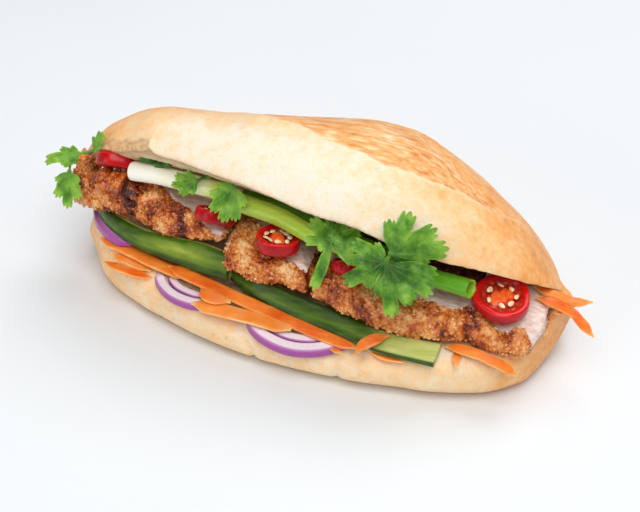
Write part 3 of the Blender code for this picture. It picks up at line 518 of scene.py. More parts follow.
def cooked_pork():
    """Pork, fried and sliced across the grain: pale, moist and fibrous, browner under the coat."""
    mat, spot = start("sliced cooked pork")
    # Fibres are about 0.3 mm thick, and are drawn more than four times as coarse to show
    drawn_out = add(mat, "Mapping", {"Vector": spot, "Scale": (0.3, 1, 1)})[0]
    fibres = add(mat, "TexNoise", {"Vector": drawn_out, "Scale": lumps(1.4), "Detail": 4.0})["Fac"]
    cloud = add(mat, "TexNoise", {"Vector": spot, "Scale": lumps(7)})["Fac"]
    pale = add(mat, "ValToRGB", {"Fac": fibres}, stops=[
        (0.3, "#DDBDAE"), (0.5, "#F2E2DA"), (0.7, "#FCF7F4")])["Color"]
    near_coat = add(mat, "Attribute", {}, attribute_name="crag")["Fac"]
    browned = add(mat, "Mix", {0: near_coat, 6: pale, 7: "#B47A55"}, data_type="RGBA")[2]
    colour = add(mat, "Mix", {0: cloud, 6: browned, 7: "#E9D2C6"}, data_type="RGBA",
                 blend_type="MULTIPLY")[2]
    relief = add(mat, "Bump", {"Height": fibres, "Distance": 0.3 * MM})[0]
    return finish(mat, {"Base Color": colour, "Normal": relief, "Roughness": 0.36, "IOR": 1.4,
                        **glow(0.25, (3, 1.2, 0.8))})


def cucumber():
    """Cucumber, sliced lengthwise and wet: dark waxy peel with paler lines, pale green flesh."""
    mat, spot = start("sliced cucumber")
    # Lines in the peel are about 1 mm wide, and are drawn twice as coarse to show
    drawn_out = add(mat, "Mapping", {"Vector": spot, "Scale": (0.12, 1, 1)})[0]
    lines = add(mat, "TexNoise", {"Vector": drawn_out, "Scale": lumps(2.2), "Detail": 4.0})["Fac"]
    # A paler stripe along each peel, and a painted highlight patch on the left slice
    stripe_and_painted_highlight = add(mat, "Attribute", {}, attribute_name="stripe_and_painted_highlight")["Fac"]
    peel_tone = add(mat, "Math", {0: lines, 1: 0.5, 2: stripe_and_painted_highlight}, operation="MULTIPLY_ADD")[0]
    peel = add(mat, "ValToRGB", {"Fac": peel_tone}, stops=[
        (0.2, "#263F02"), (0.4, "#496A08"), (0.65, "#788E20"), (0.95, "#A6B142")])["Color"]
    flesh = add(mat, "ValToRGB", {"Fac": lines}, stops=[
        (0.3, "#A6B44E"), (0.55, "#C4C878"), (0.75, "#DCDDA2")])["Color"]
    skinned = add(mat, "Attribute", {}, attribute_name="peel")["Fac"]
    colour = add(mat, "Mix", {0: skinned, 6: flesh, 7: peel}, data_type="RGBA")[2]
    relief = add(mat, "Bump", {"Height": lines, "Distance": 0.2 * MM})[0]
    return finish(mat, {"Base Color": colour, "Normal": relief, "Roughness": 0.34, "IOR": 1.34,
                        "Coat Weight": 0.04, "Coat Roughness": 0.12, **glow(0.3, (1.5, 2.5, 0.8))})


def carrot_flesh():
    """Carrot, shredded: bright clear orange, moist, a little paler along the edges of each shred."""
    mat, spot = start("shredded carrot")
    # Fibres are about 0.4 mm thick, and are drawn four times as coarse to show
    drawn_out = add(mat, "Mapping", {"Vector": spot, "Scale": (0.15, 1, 1)})[0]
    fibres = add(mat, "TexNoise", {"Vector": drawn_out, "Scale": lumps(1.6), "Detail": 2.0})["Fac"]
    cloud = add(mat, "TexNoise", {"Vector": spot, "Scale": lumps(10)})["Fac"]
    pale = add(mat, "Attribute", {}, attribute_name="pale")["Fac"]
    fibred = add(mat, "Math", {0: fibres, 1: 0.4, 2: pale}, operation="MULTIPLY_ADD")[0]
    tone = add(mat, "Math", {0: cloud, 1: 0.5, 2: fibred}, operation="MULTIPLY_ADD")[0]
    colour = add(mat, "ValToRGB", {"Fac": tone}, stops=[
        (0.28, "#E4600F"), (0.5, "#F98A30"), (0.78, "#FFB266"), (1.0, "#FFDDB4")])["Color"]
    relief = add(mat, "Bump", {"Height": fibres, "Distance": 0.12 * MM})[0]
    return finish(mat, {"Base Color": colour, "Normal": relief, "Roughness": 0.34, "IOR": 1.38,
                        **glow(0.45, (3.5, 1.6, 0.4))})


def red_onion():
    """Red onion, sliced: lilac-white layers between purple skins, wet."""
    mat, spot = start("sliced red onion")
    # Cells are about 0.3 mm wide, and are drawn more than four times as coarse to show
    cells = add(mat, "TexNoise", {"Vector": spot, "Scale": lumps(1.4), "Detail": 3.0})["Fac"]
    across = add(mat, "Attribute", {}, attribute_name="across")["Fac"]
    layer = add(mat, "ValToRGB", {"Fac": across}, stops=[
        (0.0, "#A04E98"), (0.06, "#E4CADF"), (0.2, "#F8F2F6"), (0.76, "#F5EAF2"), (0.87, "#C48FC0"),
        (1.0, "#A8559F")])["Color"]
    colour = add(mat, "Mix", {0: cells, 6: layer, 7: "#F4E8F2"}, data_type="RGBA",
                 blend_type="MULTIPLY")[2]
    relief = add(mat, "Bump", {"Height": cells, "Distance": 0.12 * MM})[0]
    return finish(mat, {"Base Color": colour, "Normal": relief, "Roughness": 0.24, "IOR": 1.38,
                        **glow(0.3, (1.6, 1.2, 1.6))})


def chilli_skin():
    """Red chilli skin: taut, deep crimson and glossy."""
    return clouded("red chilli skin", 5, [(0.3, "#98000E"), (0.7, "#C2020E")],
                   {"Roughness": 0.3, "IOR": 1.38, "Coat Weight": 0.04, "Coat Roughness": 0.06})


def chilli_flesh():
    """Red chilli flesh, cut: brighter than the skin and wet."""
    # Cells are about 0.2 mm wide, and are drawn more than four times as coarse to show
    return clouded("cut red chilli", 0.9, [(0.3, "#C0040C"), (0.7, "#E01C14")],
                   {"Roughness": 0.24, "IOR": 1.38, **glow(0.2, (2.5, 0.5, 0.3))}, raised=0.12)


def chilli_core():
    """The core that holds a chilli's seeds: soft orange ribs."""
    return clouded("chilli core", 1.3, [(0.3, "#EC4310"), (0.65, "#FF7A30")],
                   {"Roughness": 0.3, "IOR": 1.38, **glow(0.35, (3, 1, 0.3))}, raised=0.2)


def chilli_pith():
    """Inner wall of the pockets round a chilli's seeds: red with paler ribs, wet, and darker than the flesh
    partly as painted shade down in the pockets.
    """
    return clouded("chilli pith", 2, [(0.35, "#96100E"), (0.6, "#C83A22"), (0.75, "#E89A78")],
                   {"Roughness": 0.3, "IOR": 1.38, **glow(0.3, (3, 1, 0.5))})


def chilli_seed():
    """Chilli seeds: flat, cream and smooth."""
    return clouded("chilli seed", 1.5, [(0.3, "#F0CC92"), (0.65, "#FFEFC8")],
                   {"Roughness": 0.35, "IOR": 1.45})


def spring_onion_skin():
    """Spring onion, cut raw: white at the root end, then pale and bright green, ribbed and waxy."""
    mat, spot = start("spring onion stem")
    # Ribs are about 0.5 mm wide, and are drawn twice as coarse to show
    drawn_out = add(mat, "Mapping", {"Vector": spot, "Scale": (0.07, 1, 1)})[0]
    ribs = add(mat, "TexNoise", {"Vector": drawn_out, "Scale": lumps(1.1), "Detail": 3.0})["Fac"]
    green = add(mat, "Attribute", {}, attribute_name="green")["Fac"]
    tone = add(mat, "Math", {0: ribs, 1: 0.3, 2: green}, operation="MULTIPLY_ADD")[0]
    colour = add(mat, "ValToRGB", {"Fac": tone}, stops=[
        (0.14, "#F4F1E7"), (0.34, "#E8EBC8"), (0.52, "#C2CE62"), (0.78, "#98BC2C"),
        (1.0, "#62A61E")])["Color"]
    relief = add(mat, "Bump", {"Height": ribs, "Distance": 0.15 * MM})[0]
    return finish(mat, {"Base Color": colour, "Normal": relief, "Roughness": 0.25, "IOR": 1.42,
                        "Coat Weight": 0.1, "Coat Roughness": 0.1, **glow(0.3, (1.5, 2.5, 0.8))})


def coriander_leaf():
    """Coriander, picked fresh: soft mid green, paler veins, yellower towards the teeth."""
    mat, spot = start("fresh coriander")
    cloud = add(mat, "TexNoise", {"Vector": spot, "Scale": lumps(6), "Detail": 6.0})["Fac"]
    veined = add(mat, "TexNoise", {"Vector": spot, "Scale": lumps(1.3), "Detail": 2.0})["Fac"]
    rim = add(mat, "Attribute", {}, attribute_name="rim")["Fac"]
    tone = add(mat, "Math", {0: rim, 1: 0.22, 2: cloud}, operation="MULTIPLY_ADD")[0]
    blade = add(mat, "ValToRGB", {"Fac": tone}, stops=[
        (0.2, "#1A4006"), (0.36, "#366812"), (0.52, "#5C9026"), (0.74, "#8CB63E")])["Color"]
    vein = add(mat, "Attribute", {}, attribute_name="vein")["Fac"]
    pale = add(mat, "Math", {0: vein, 1: 0.1}, operation="MULTIPLY")[0]
    colour = add(mat, "Mix", {0: pale, 6: blade, 7: "#A3C684"}, data_type="RGBA")[2]
    # The net of small veins is about 0.8 mm wide, and is drawn three times as coarse to show
    net = add(mat, "TexVoronoi", {"Vector": spot, "Scale": lumps(2.4)},
              feature="DISTANCE_TO_EDGE")["Distance"]
    puckered = add(mat, "Math", {0: net, 1: 1.2, 2: veined}, operation="MULTIPLY_ADD")[0]
    furrows = add(mat, "Math", {0: vein, 1: -0.25, 2: puckered}, operation="MULTIPLY_ADD")[0]
    relief = add(mat, "Bump", {"Height": furrows, "Distance": 0.3 * MM})[0]
    return finish(mat, {"Base Color": colour, "Normal": relief, "Roughness": 0.45, "IOR": 1.36,
                        **glow(0.2, (0.8, 1.6, 0.5))})


def mark_points(mesh, key, values):
    """A named value on every point of a mesh, for its finish."""
    layer = mesh.attributes.new(key, "FLOAT", "POINT")
    layer.data.foreach_set("value", np.array(values, np.float32))


def closed_form(name, rings, materials, marks=None, band=None):
    """Closed mesh through rings of points, with named values on its points and a material for each band."""
    rings = np.asarray(rings, float)
    rows, count = rings.shape[:2]
    points = np.concatenate([rings.reshape(-1, 3), rings[[0, -1]].mean(axis=1)]) * MM
    faces = []
    bands = []
    for r in range(rows - 1):
        for i in range(count):
            j = (i + 1) % count
            faces.append((r * count + i, r * count + j, (r + 1) * count + j, (r + 1) * count + i))
            bands.append(band(r, i) if band else 0)
    for row, middle in ((0, rows * count), (rows - 1, rows * count + 1)):
        for i in range(count):
            faces.append((row * count + i, row * count + (i + 1) % count, middle))
            bands.append(band(row, i) if band else 0)
    mesh = bpy.data.meshes.new(name)
    mesh.from_pydata(points, [], faces)
    mesh.polygons.foreach_set("material_index", bands)
    for key, values in (marks or {}).items():
        values = np.asarray(values, float)
        ends = values.reshape(rows, count)[[0, -1]].mean(axis=1)
        mark_points(mesh, key, np.concatenate([values.ravel(), ends]))
    for mat in materials:
        mesh.materials.append(mat)
    tidy = bmesh.new()
    tidy.from_mesh(mesh)
    bmesh.ops.recalc_face_normals(tidy, faces=tidy.faces)
    tidy.to_mesh(mesh)
    tidy.free()
    mesh.shade_smooth()
    mesh.set_sharp_from_angle(angle=math.radians(SHARP_EDGE))
    return show(name, mesh)


def show(name, mesh):
    """Object for a mesh."""
    piece = bpy.data.objects.new(name, mesh)
    bpy.context.scene.collection.objects.link(piece)
    return piece


def stand_for(piece, node):
    """The piece shows in place of a solid, which is hidden."""
    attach(piece, "root")
    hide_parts(node)


def lip_crumble(x):
    """Uneven line of the cut along the upper lip, with the bite where its left end is torn."""
    ragged = 0.5 * grain(x, 0, 5, 4) + 0.4 * grain(x, 0, 9, 1.5)
    return ragged + sum(deep * hump(x, place, wide) for place, deep, wide in LIP_BITES)


def slash_form(x, degrees):
    """Slash at a turn round the upper crust: its relief, and the shares of torn surface and of crest."""
    fade = min(1.0, max(0.0, (x - SLASH_FROM) / SLASH_FADE), max(0.0, (SLASH_TO - x) / SLASH_FADE))
    if fade == 0:
        return 0.0, 0.0, 0.0
    wander = 1.6 * grain(x, 0, 2, 13) + 0.8 * grain(x, 0, 7, 4)
    behind = degrees - at(SLASH_RIDGE, x) + wander
    ahead = at(SLASH_REAR, x) - degrees + wander
    ridge = hump(behind, 0, 8 if behind < 0 else 2.2)
    rear = hump(ahead, 0, 7 if ahead < 0 else 3)
    torn = ease(behind, 0, 3) * ease(ahead, -1, 4)
    crest = 0.8 * hump(behind, 1.4, 2.8)
    relief = SLASH_RIDGE_HEIGHT * ridge + SLASH_REAR_HEIGHT * rear - SLASH_DEPTH * torn
    share = fade ** 0.4
    return fade * relief, share * torn, share * crest


def either(shares):
    """Share that at least one of several holds."""
    rest = 1.0
    for share in shares:
        rest *= 1 - min(1.0, max(0.0, share))
    return 1 - rest


def crust_turns(count):
    """Turns round the crust from its lip, close together near both lips."""
    return [math.pi * (u - 0.85 * math.sin(math.tau * u) / math.tau)
            for u in (i / (count - 1) for i in range(count))]


def upper_crust(x):
    """Ring of the upper half: for each point its place and its bake, torn, crest and edge values."""
    lip = Vector((x, at(UPPER_LIP_Y, x), at(UPPER_LIP_Z, x)))
    hinge = Vector((x, at(HINGE_Y, x), at(HINGE_Z, x)))
    chord = hinge - lip
    out = Vector((0, -chord.z, chord.y)).normalized()
    thickness = at(UPPER_THICKNESS, x)
    ends = ease(x, ROLL_TIPS[0], -88) * (1 - ease(x, 90, ROLL_TIPS[1]))
    ring = []
    for turn in crust_turns(CRUST_POINTS_UPPER):
        degrees = math.degrees(turn)
        relief, torn, crest = slash_form(x, degrees)
        height = thickness * math.sin(turn) ** UPPER_FLANK
        point = lip + chord * (1 - math.cos(turn)) / 2 + out * height
        away = math.sin(turn) ** 0.5
        # Broad waves, torn strands, blisters and a crease
        soft = 0.5 * grain(*point, 22) + 0.22 * grain(*point, 8) * (1 + torn)
        drawn_out = (point.x * 0.3, point.y, point.z)
        calm = 1 - 0.7 * ease(x, 45, 72)
        rough = torn * calm * (0.5 * grain(*drawn_out, 2.6) + 0.3 * grain(*drawn_out, 1.2))
        blister = 0.18 * max(0.0, grain(*point, 3.2) - 0.25)
        crease_turn = 14 + 0.3 * (x + 48) - 2 * grain(x, 0, 0, 5)
        crease = -CREASE_DEPTH * hump(degrees, crease_turn, 1.0) * hump(x, -46, 8)
        point = point + out * ((relief + soft * ends + rough + blister + crease) * away)
        point.z += lip_crumble(x) * math.exp(-degrees / 5)
        # Paler where it was sheltered, and bare crumb where the lip's left end is torn
        golden = GOLDEN_RIGHT if x > PALEST[0] else GOLDEN_LEFT
        reach = math.hypot((x - PALEST[0]) / golden[0], (degrees - PALEST[1]) / golden[1])
        tone = either((0.76 * ease(reach, 0.3, 1.8), 0.28 * ease(x, 70, 97), 0.15 * ease(-x, 75, 96)))
        bare = 7 * ease(x, -96, -84) * ease(-x, 63.5, 66) * (1 + 0.6 * grain(x, 0, 3, 5))
        ragged = 0.7 + 0.5 * grain(x, 1, 0, 2.5)
        edge = max(0.45 * math.exp(-degrees / ragged), 0.6 * ease(bare - degrees, -1, 2))
        ring.append((point, 0.6 * tone + 0.05 * grain(*point, 16), torn, crest, edge))
    for i in range(1, CUT_POINTS + 1):
        t = i / (CUT_POINTS + 1)
        point = hinge - chord * t
        inset = 0.5 * grain(*point, 3) + 0.4 * grain(*point, 1.4)
        # Browner towards the lip: toasted crumb at the cut's edge, and painted shade under the lip
        edge = 0.9 * math.exp(-(1 - t) * chord.length / 6)
        ring.append((point + out * inset * math.sin(math.pi * t) ** 0.3, 0.3, 0.0, 0.0, edge))
    return ring


def lower_crust(x):
    """Ring of the lower half, whose crumb swells behind its front lip: each point and its four values."""
    front, back = at(FRONT_EDGE, x), at(BACK_EDGE, x)
    lip, back_lip, base = at(LOWER_LIP_Z, x), at(LOWER_BACK_Z, x), at(UNDERSIDE_Z, x)
    middle, half = (front + back) / 2, (back - front) / 2
    form = min(1.0, half / FULL_FORM_HALF_WIDTH)
    ring = []
    for turn in crust_turns(CRUST_POINTS_LOWER):
        drop = min(1.0, LOWER_FLAT * math.sin(turn) ** LOWER_FLANK)
        edge = lip + (back_lip - lip) * turn / math.pi
        out = LOWER_BULGE * form * math.sin(2 * turn)
        across = half * signed_power(math.cos(turn), LOWER_WIDTH)
        point = Vector((x, middle - across - out, edge + (base - edge) * drop))
        flank = signed_power(math.cos(turn), 0.5) * form
        soft = 0.7 * grain(*point, 24) + 0.25 * grain(*point, 7) + 0.1 * grain(*point, 2.5)
        front_share = ease(-turn, -1.6, -1.0)
        fold = sum(deep * hump(x + lean * point.z, place, wide) for place, lean, deep, wide in FOLDS)
        point.y -= flank * (soft - fold * front_share)
        at_tips = (0.45 * ease(-x, 70, 100), 0.65 * ease(x, 55, 98))
        tone = either((0.3, *at_tips, 0.65 * ease(turn, 1.4, 2.6), 0.5 * ease(drop, 0.6, 1)))
        ring.append((point, 0.6 * tone + 0.05 * grain(*point, 14), 0.0, 0.0, 0.0))
    for i in range(1, CUT_POINTS + 1):
        t = (i / (CUT_POINTS + 1)) ** 0.7
        inward = (1 - t) * 2 * half
        sag = CUT_SAG * form * math.sin(math.pi * t)
        swell = LIP_SWELL * form * inward / LIP_SWELL_WIDTH * math.exp(1 - inward / LIP_SWELL_WIDTH)
        point = Vector((x, back + (front - back) * t, back_lip + (lip - back_lip) * t - sag + swell))
        point.z += (0.5 * grain(*point, 3) + 0.3 * grain(*point, 1.4)) * math.sin(math.pi * t) ** 0.3
        ring.append((point, 0.12 + 0.4 * ease(x, 75, 98) + 0.15 * ease(-x, 75, 95), 0.0, 0.0, 0.0))
    return ring


def round_off(rings, around, rounds):
    """Rings whose corner at one index is rounded, softly on both sides of it."""
    rings = np.asarray(rings, float)
    count = rings.shape[1]
    reach = np.arange(count)
    away = np.minimum((reach - around) % count, (around - reach) % count)
    weight = 0.5 * np.exp(-(away / LIP_SOFTNESS) ** 2)[None, :, None]
    for _ in range(rounds):
        even = (np.roll(rings, 1, axis=1) + np.roll(rings, -1, axis=1)) / 2
        rings = rings + (even - rings) * weight
    return rings


def along_roll(first, last):
    """Places of the sections, closer together towards the tips."""
    middle, half = (first + last) / 2, (last - first) / 2
    return [middle - half * math.cos(math.pi * i / (ROLL_RINGS - 1)) for i in range(ROLL_RINGS)]


def half_roll(name, section, places, cut, rounding, materials):
    """One half of the roll from its sections. The points in the cut range show crumb, all others crust."""
    rows = [list(zip(*section(x))) for x in places]
    marks = {key: [row[k] for row in rows] for k, key in enumerate(("bake", "torn", "crest", "edge"), 1)}
    rings = round_off([row[0] for row in rows], 0, rounding)
    return closed_form(name, rings, materials, marks,
                       lambda r, i: int(i in cut and CRUMB_FROM < places[r] < CRUMB_TO))


def bake_roll():
    """Both halves, which meet along the hinge."""
    finishes = [baked_crust(), bread_crumb()]
    below = range(CRUST_POINTS_LOWER - 1, CRUST_POINTS_LOWER + CUT_POINTS - LIP_POINTS)
    above = range(CRUST_POINTS_UPPER - 1, CRUST_POINTS_UPPER + CUT_POINTS)
    lower = half_roll("roll_lower", lower_crust, along_roll(*ROLL_TIPS), below, LOWER_LIP_ROUNDS, finishes)
    upper = half_roll("roll_upper", upper_crust, along_roll(UPPER_LIP_Z[0][0], UPPER_LIP_Z[-1][0]), above,
                      UPPER_LIP_ROUNDS, finishes)
    for half in (lower, upper):
        stand_for(half, "roll")


def fine_copy(node, voxel, rounds):
    """Even mesh of a solid, in an object of its own."""
    rough = show(node + "_rough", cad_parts[node].data.copy())
    remesh = rough.modifiers.new("even", "REMESH")
    remesh.mode = "VOXEL"
    remesh.voxel_size = voxel * MM
    smooth = rough.modifiers.new("soft", "SMOOTH")
    smooth.iterations = rounds
    mesh = bpy.data.meshes.new_from_object(rough.evaluated_get(bpy.context.evaluated_depsgraph_get()))
    bpy.data.objects.remove(rough)
    return show(node + "_fine", mesh)


def rounded_grain(point, size):
    """Rounded grains of a size: 1 on top of a grain, lower between grains."""
    nearest = noise.voronoi(point / size)[0][0]
    return 1 - nearest * nearest * 2


def flesh_share(p, normal):
    """Share of bare flesh at a point of the cutlet: on top, behind the line where the coat stops."""
    wander = 2.5 * grain(*p, 6) + 1.2 * grain(*p, 2)
    cut = ease(p.y - at(FLESH_FRONT, p.x) + wander, -0.6, 0.8)
    # At the back, from x = 12 to 72, coat shows in place of flesh, darkened there as painted shade behind
    # the stem and under the upper lip
    cut *= 1 - ease(p.y, -23, -18) * ease(p.x, 12, 20) * (1 - ease(p.x, 66, 72))
    return cut * ease(normal.z + 0.5 * ease(p.x, 84, 90), 0.15, 0.45)


def fry_cutlet(node, finishes, draw):
    """A strip of cutlet: craggy coat with loose crumbs in it, and flesh where it was sliced."""
    piece = fine_copy(node, CUTLET_VOXEL, 3)
    mesh = piece.data
    normals = [v.normal.copy() for v in mesh.vertices]
    crags, fleshes, seats = [], [], []
    for vertex, normal in zip(mesh.vertices, normals):
        p = vertex.co / MM
        flesh = flesh_share(p, normal)
        shade = at(COAT_SHADE, p.x)
        # Lumps, with cracks that wander between them and go further round the left strip, and crumbs
        lump = 1.6 * grain(*p, 8) + 1.3 * abs(grain(*p, 4)) - 0.35
        bent = p.x + 2.5 * grain(*p, 9) + 0.25 * (p.z - 40)
        front = ease(-normal.y, -0.4, 0.3) if p.x < 0 else ease(-normal.y, 0.1, 0.6)
        lump -= sum(deep * hump(bent, place, CRACK_WIDTH) for place, deep in COAT_CRACKS) * front
        crumb = 0.55 * rounded_grain(p, 2.6) + 0.3 * rounded_grain(p + Vector((5, 5, 5)), 1.3)
        fibres = 0.25 * grain(p.x * 0.3, p.y, p.z, 1.5)
        hang = at(COAT_HANG, p.x) * ease(-p.y, 12, 30) * ease(37 - p.z, 0, 7)
        rise = LEFT_STRIP_RISE * ease(-p.x, 72, 79) - LEFT_TIP_DROP * ease(-p.x, 88, 97)
        rise *= ease(normal.z, 0.3, 0.8)
        coat = lump + crumb - COAT_SUNK
        vertex.co += normal * MM * ((1 - flesh) * coat + flesh * (fibres - FLESH_SUNK) + rise)
        vertex.co += Vector((0, -HANG_FORWARD, -HANG_DOWN)) * MM * hang
        fleshes.append(flesh)
        # Painted shade: the coat and its crumbs are darker at the back of the cutlet right of x = 10,
        # behind the stem and under the upper lip
        painted_shade_under_lip = 0.7 * ease(p.y, -22, -12) * ease(p.x, 10, 20)
        # The coat is paler on raised lumps and crumbs and darker down in its cracks and hollows, partly its
        # frying and partly painted shade
        crags.append(shade + 0.26 * lump + 0.3 * crumb - painted_shade_under_lip if flesh < 0.5 else 0.35 * grain(*p, 8))
        if flesh < 0.3 and normal.y < 0.75 and draw.random() < CRUMB_SHARE:
            seats.append((vertex.co / MM, normal, shade + 0.15 + 0.26 * lump - painted_shade_under_lip))
    mark_points(mesh, "crag", crags)
    mesh.materials.clear()
    for mat in finishes:
        mesh.materials.append(mat)
    for face in mesh.polygons:
        face.material_index = 1 if sum(fleshes[i] for i in face.vertices) / len(face.vertices) > 0.5 else 0
    mesh.shade_smooth()
    stand_for(piece, node)
    stand_for(loose_crumbs(node, seats, finishes[0], draw), node)


def loose_crumbs(node, seats, coat, draw):
    """Crumbs that stand out of the coat, each an uneven chip pressed into it."""
    chip = bmesh.new()
    bmesh.ops.create_icosphere(chip, subdivisions=1, radius=1)
    shape = [v.co.copy() for v in chip.verts]
    faces = [[v.index for v in f.verts] for f in chip.faces]
    chip.free()
    points, sides, crags = [], [], []
    for seat, normal, crag in seats:
        spin = Matrix.Rotation(draw.uniform(0, 6.28), 3, "Z")
        turn = normal.to_track_quat("Z", "Y").to_matrix() @ spin
        turn = turn @ Matrix.Rotation(draw.uniform(-0.7, 0.7), 3, "X")
        size = draw.triangular(CRUMB_LEAST, CRUMB_MOST, CRUMB_USUAL)
        stretch = Vector((size, size * draw.uniform(0.4, 0.9), size * draw.uniform(0.5, 0.9)))
        sides += [[i + len(points) for i in f] for f in faces]
        tone = crag + draw.uniform(-0.15, 0.3)
        for corner in shape:
            uneven = draw.uniform(0.6, 1.25)
            local = Vector([a * b * uneven for a, b in zip(corner, stretch)])
            points.append((seat + normal * 0.12 + turn @ local) * MM)
            crags.append(tone)
    mesh = bpy.data.meshes.new(node + "_crumbs")
    mesh.from_pydata(points, [], sides)
    mark_points(mesh, "crag", crags)
    mesh.materials.append(coat)
    return show(node + "_crumbs", mesh)


def strip_rings(path, widths, heights, leans, corners, squareness):
    """Rings of a flat strip that follows the path."""
    rings = []
    for i, point in enumerate(path):
        ahead = path[min(i + 1, len(path) - 1)] - path[max(i - 1, 0)]
        ahead.normalize()
        side = Vector((0, 0, 1)).cross(ahead).normalized()
        up = ahead.cross(side)
        lean = math.radians(leans[i])
        across = side * math.cos(lean) + up * math.sin(lean)
        rise = up * math.cos(lean) - side * math.sin(lean)
        rings.append([point + across * widths[i] / 2 * signed_power(math.cos(turn), squareness)
                      + rise * heights[i] / 2 * signed_power(math.sin(turn), squareness)
                      for turn in corner_turns(corners)])
    return rings


def slice_cucumbers():
    """Two long slices that show their peel, until the right one turns its flesh up at its cut end."""
    mat = cucumber()
    corners = 40
    for name, (points, face, thickness, leans) in CUCUMBERS.items():
        path = along(points, 140)
        widths = [at(face, p.x) for p in path]
        heights = [thickness * min(1.0, w / 8) for w in widths]
        rings = strip_rings(path, widths, heights, [at(leans, p.x) for p in path], corners,
                            CUCUMBER_SQUARENESS)
        stripe_and_painted_highlight, peel = [], []
        for p in path:
            turned = ease(p.x, 26, 40)
            for turn in corner_turns(corners):
                level = signed_power(math.cos(turn), CUCUMBER_SQUARENESS)
                # Painted highlight patch near x = -52, mostly on the left slice, over a paler stripe along
                # the middle of each peel
                patch = 0.55 * hump(level, 0.35, 0.5) * hump(p.x, -52, 16)
                stripe_and_painted_highlight.append(0.25 * hump(level, -0.1, 0.3) + patch)
                front = 1 - ease(level, -0.95, -0.8)
                outer = 1.0 if math.sin(turn) > 0 else 0.25
                peel.append(outer * (1 - turned) + front * turned)
        piece = closed_form(name + "_slice", rings, [mat], {"stripe_and_painted_highlight": stripe_and_painted_highlight, "peel": peel})
        stand_for(piece, name)


def shred_carrots():
    """Shreds with slightly rounded edges and uneven widths."""
    mat = carrot_flesh()
    corners = 16
    for number, (points, width, thickness, lean) in enumerate(CARROTS, 1):
        length = sum((Vector(b) - Vector(a)).length for a, b in zip(points, points[1:]))
        count = max(16, int(length / CARROT_STEP))
        path = along(points, count)
        from_end = [min(i, count - 1 - i) * length / count for i in range(count)]
        taper = [0.25 + 0.75 * ease(far, 0, CARROT_TAPER) for far in from_end]
        uneven = [CARROT_FULLNESS + 0.12 * grain(number * 7, 0, i * CARROT_STEP, 6) for i in range(count)]
        widths = [width * t * u for t, u in zip(taper, uneven)]
        heights = [thickness * t for t in taper]
        twist = [lean + 14 * grain(number * 5, 3, i * CARROT_STEP, 16) for i in range(count)]
        rings = strip_rings(path, widths, heights, twist, corners, CARROT_SQUARENESS)
        shade = 0.16 * (number * 7 % 5) / 4 - 0.06
        pale = [[shade + 0.3 * abs(math.cos(turn)) ** 3 + 0.25 * (1 - ease(far, 0, 3))
                 for turn in corner_turns(corners)] for far in from_end]
        piece = closed_form("carrot_shred_%02d" % number, rings, [mat], {"pale": pale})
        stand_for(piece, "carrot_%02d" % number)


def slice_onions():
    """Arcs of onion, each with its purple outer skin."""
    mat = red_onion()
    sides = 24
    count = 100
    for name, (centre, radius, first, last, width, height, slope, purple) in ONIONS.items():
        rings, across = [], []
        for i in range(count):
            t = i / (count - 1)
            turn = math.radians(first + (last - first) * t)
            spoke = Vector((math.cos(turn), math.sin(turn), slope * math.sin(turn)))
            middle = Vector(centre) + spoke * (radius - width / 2 + 0.3 * grain(t * 40, radius, 3, 9))
            thin = 0.3 + 0.7 * ease(min(t, 1 - t), 0, 0.15)
            ring = []
            for angle in corner_turns(sides):
                out = signed_power(math.cos(angle), ONION_SQUARENESS)
                level = height / 2 * thin * signed_power(math.sin(angle), ONION_SQUARENESS)
                ring.append(middle + spoke * width / 2 * thin * out + Vector((0, 0, level)))
                across.append(purple + (1 - purple) * (out + 1) / 2)
            rings.append(ring)
        stand_for(closed_form(name + "_slice", rings, [mat], {"across": across}), name)


def chilli_seeds(name, place, wall, count, mat, draw):
    """Flat seeds that stand round the core, each a tear shape."""
    ball = bmesh.new()
    bmesh.ops.create_uvsphere(ball, u_segments=14, v_segments=9, radius=0.5)
    tear = [Vector((v.co.x, v.co.y * (1 - 0.5 * v.co.x), v.co.z)) for v in ball.verts]
    faces = [[v.index for v in f.verts] for f in ball.faces]
    ball.free()
    points, sides = [], []
    for k in range(count):
        turn = math.tau * (k + 0.5 * draw.random()) / count
        reach = wall * draw.uniform(0.6, 0.78)
        spin = Matrix.Rotation(turn + math.pi / 2 + draw.uniform(-0.7, 0.7), 4, "Z")
        tilt = Matrix.Rotation(draw.uniform(-0.6, 0.6), 4, "X")
        seat = Matrix.Translation((reach * math.cos(turn), reach * math.sin(turn), -0.7))
        size = Matrix.Diagonal((draw.uniform(*SEED_LENGTH), draw.uniform(*SEED_WIDTH), SEED_THICKNESS, 1))
        turned = place @ seat @ spin @ tilt @ size
        sides += [[i + len(points) for i in f] for f in faces]
        points += [turned @ corner * MM for corner in tear]
    mesh = bpy.data.meshes.new(name + "_seeds")
    mesh.from_pydata(points, [], sides)
    mesh.materials.append(mat)
    mesh.shade_smooth()
    return show(name + "_seeds", mesh)


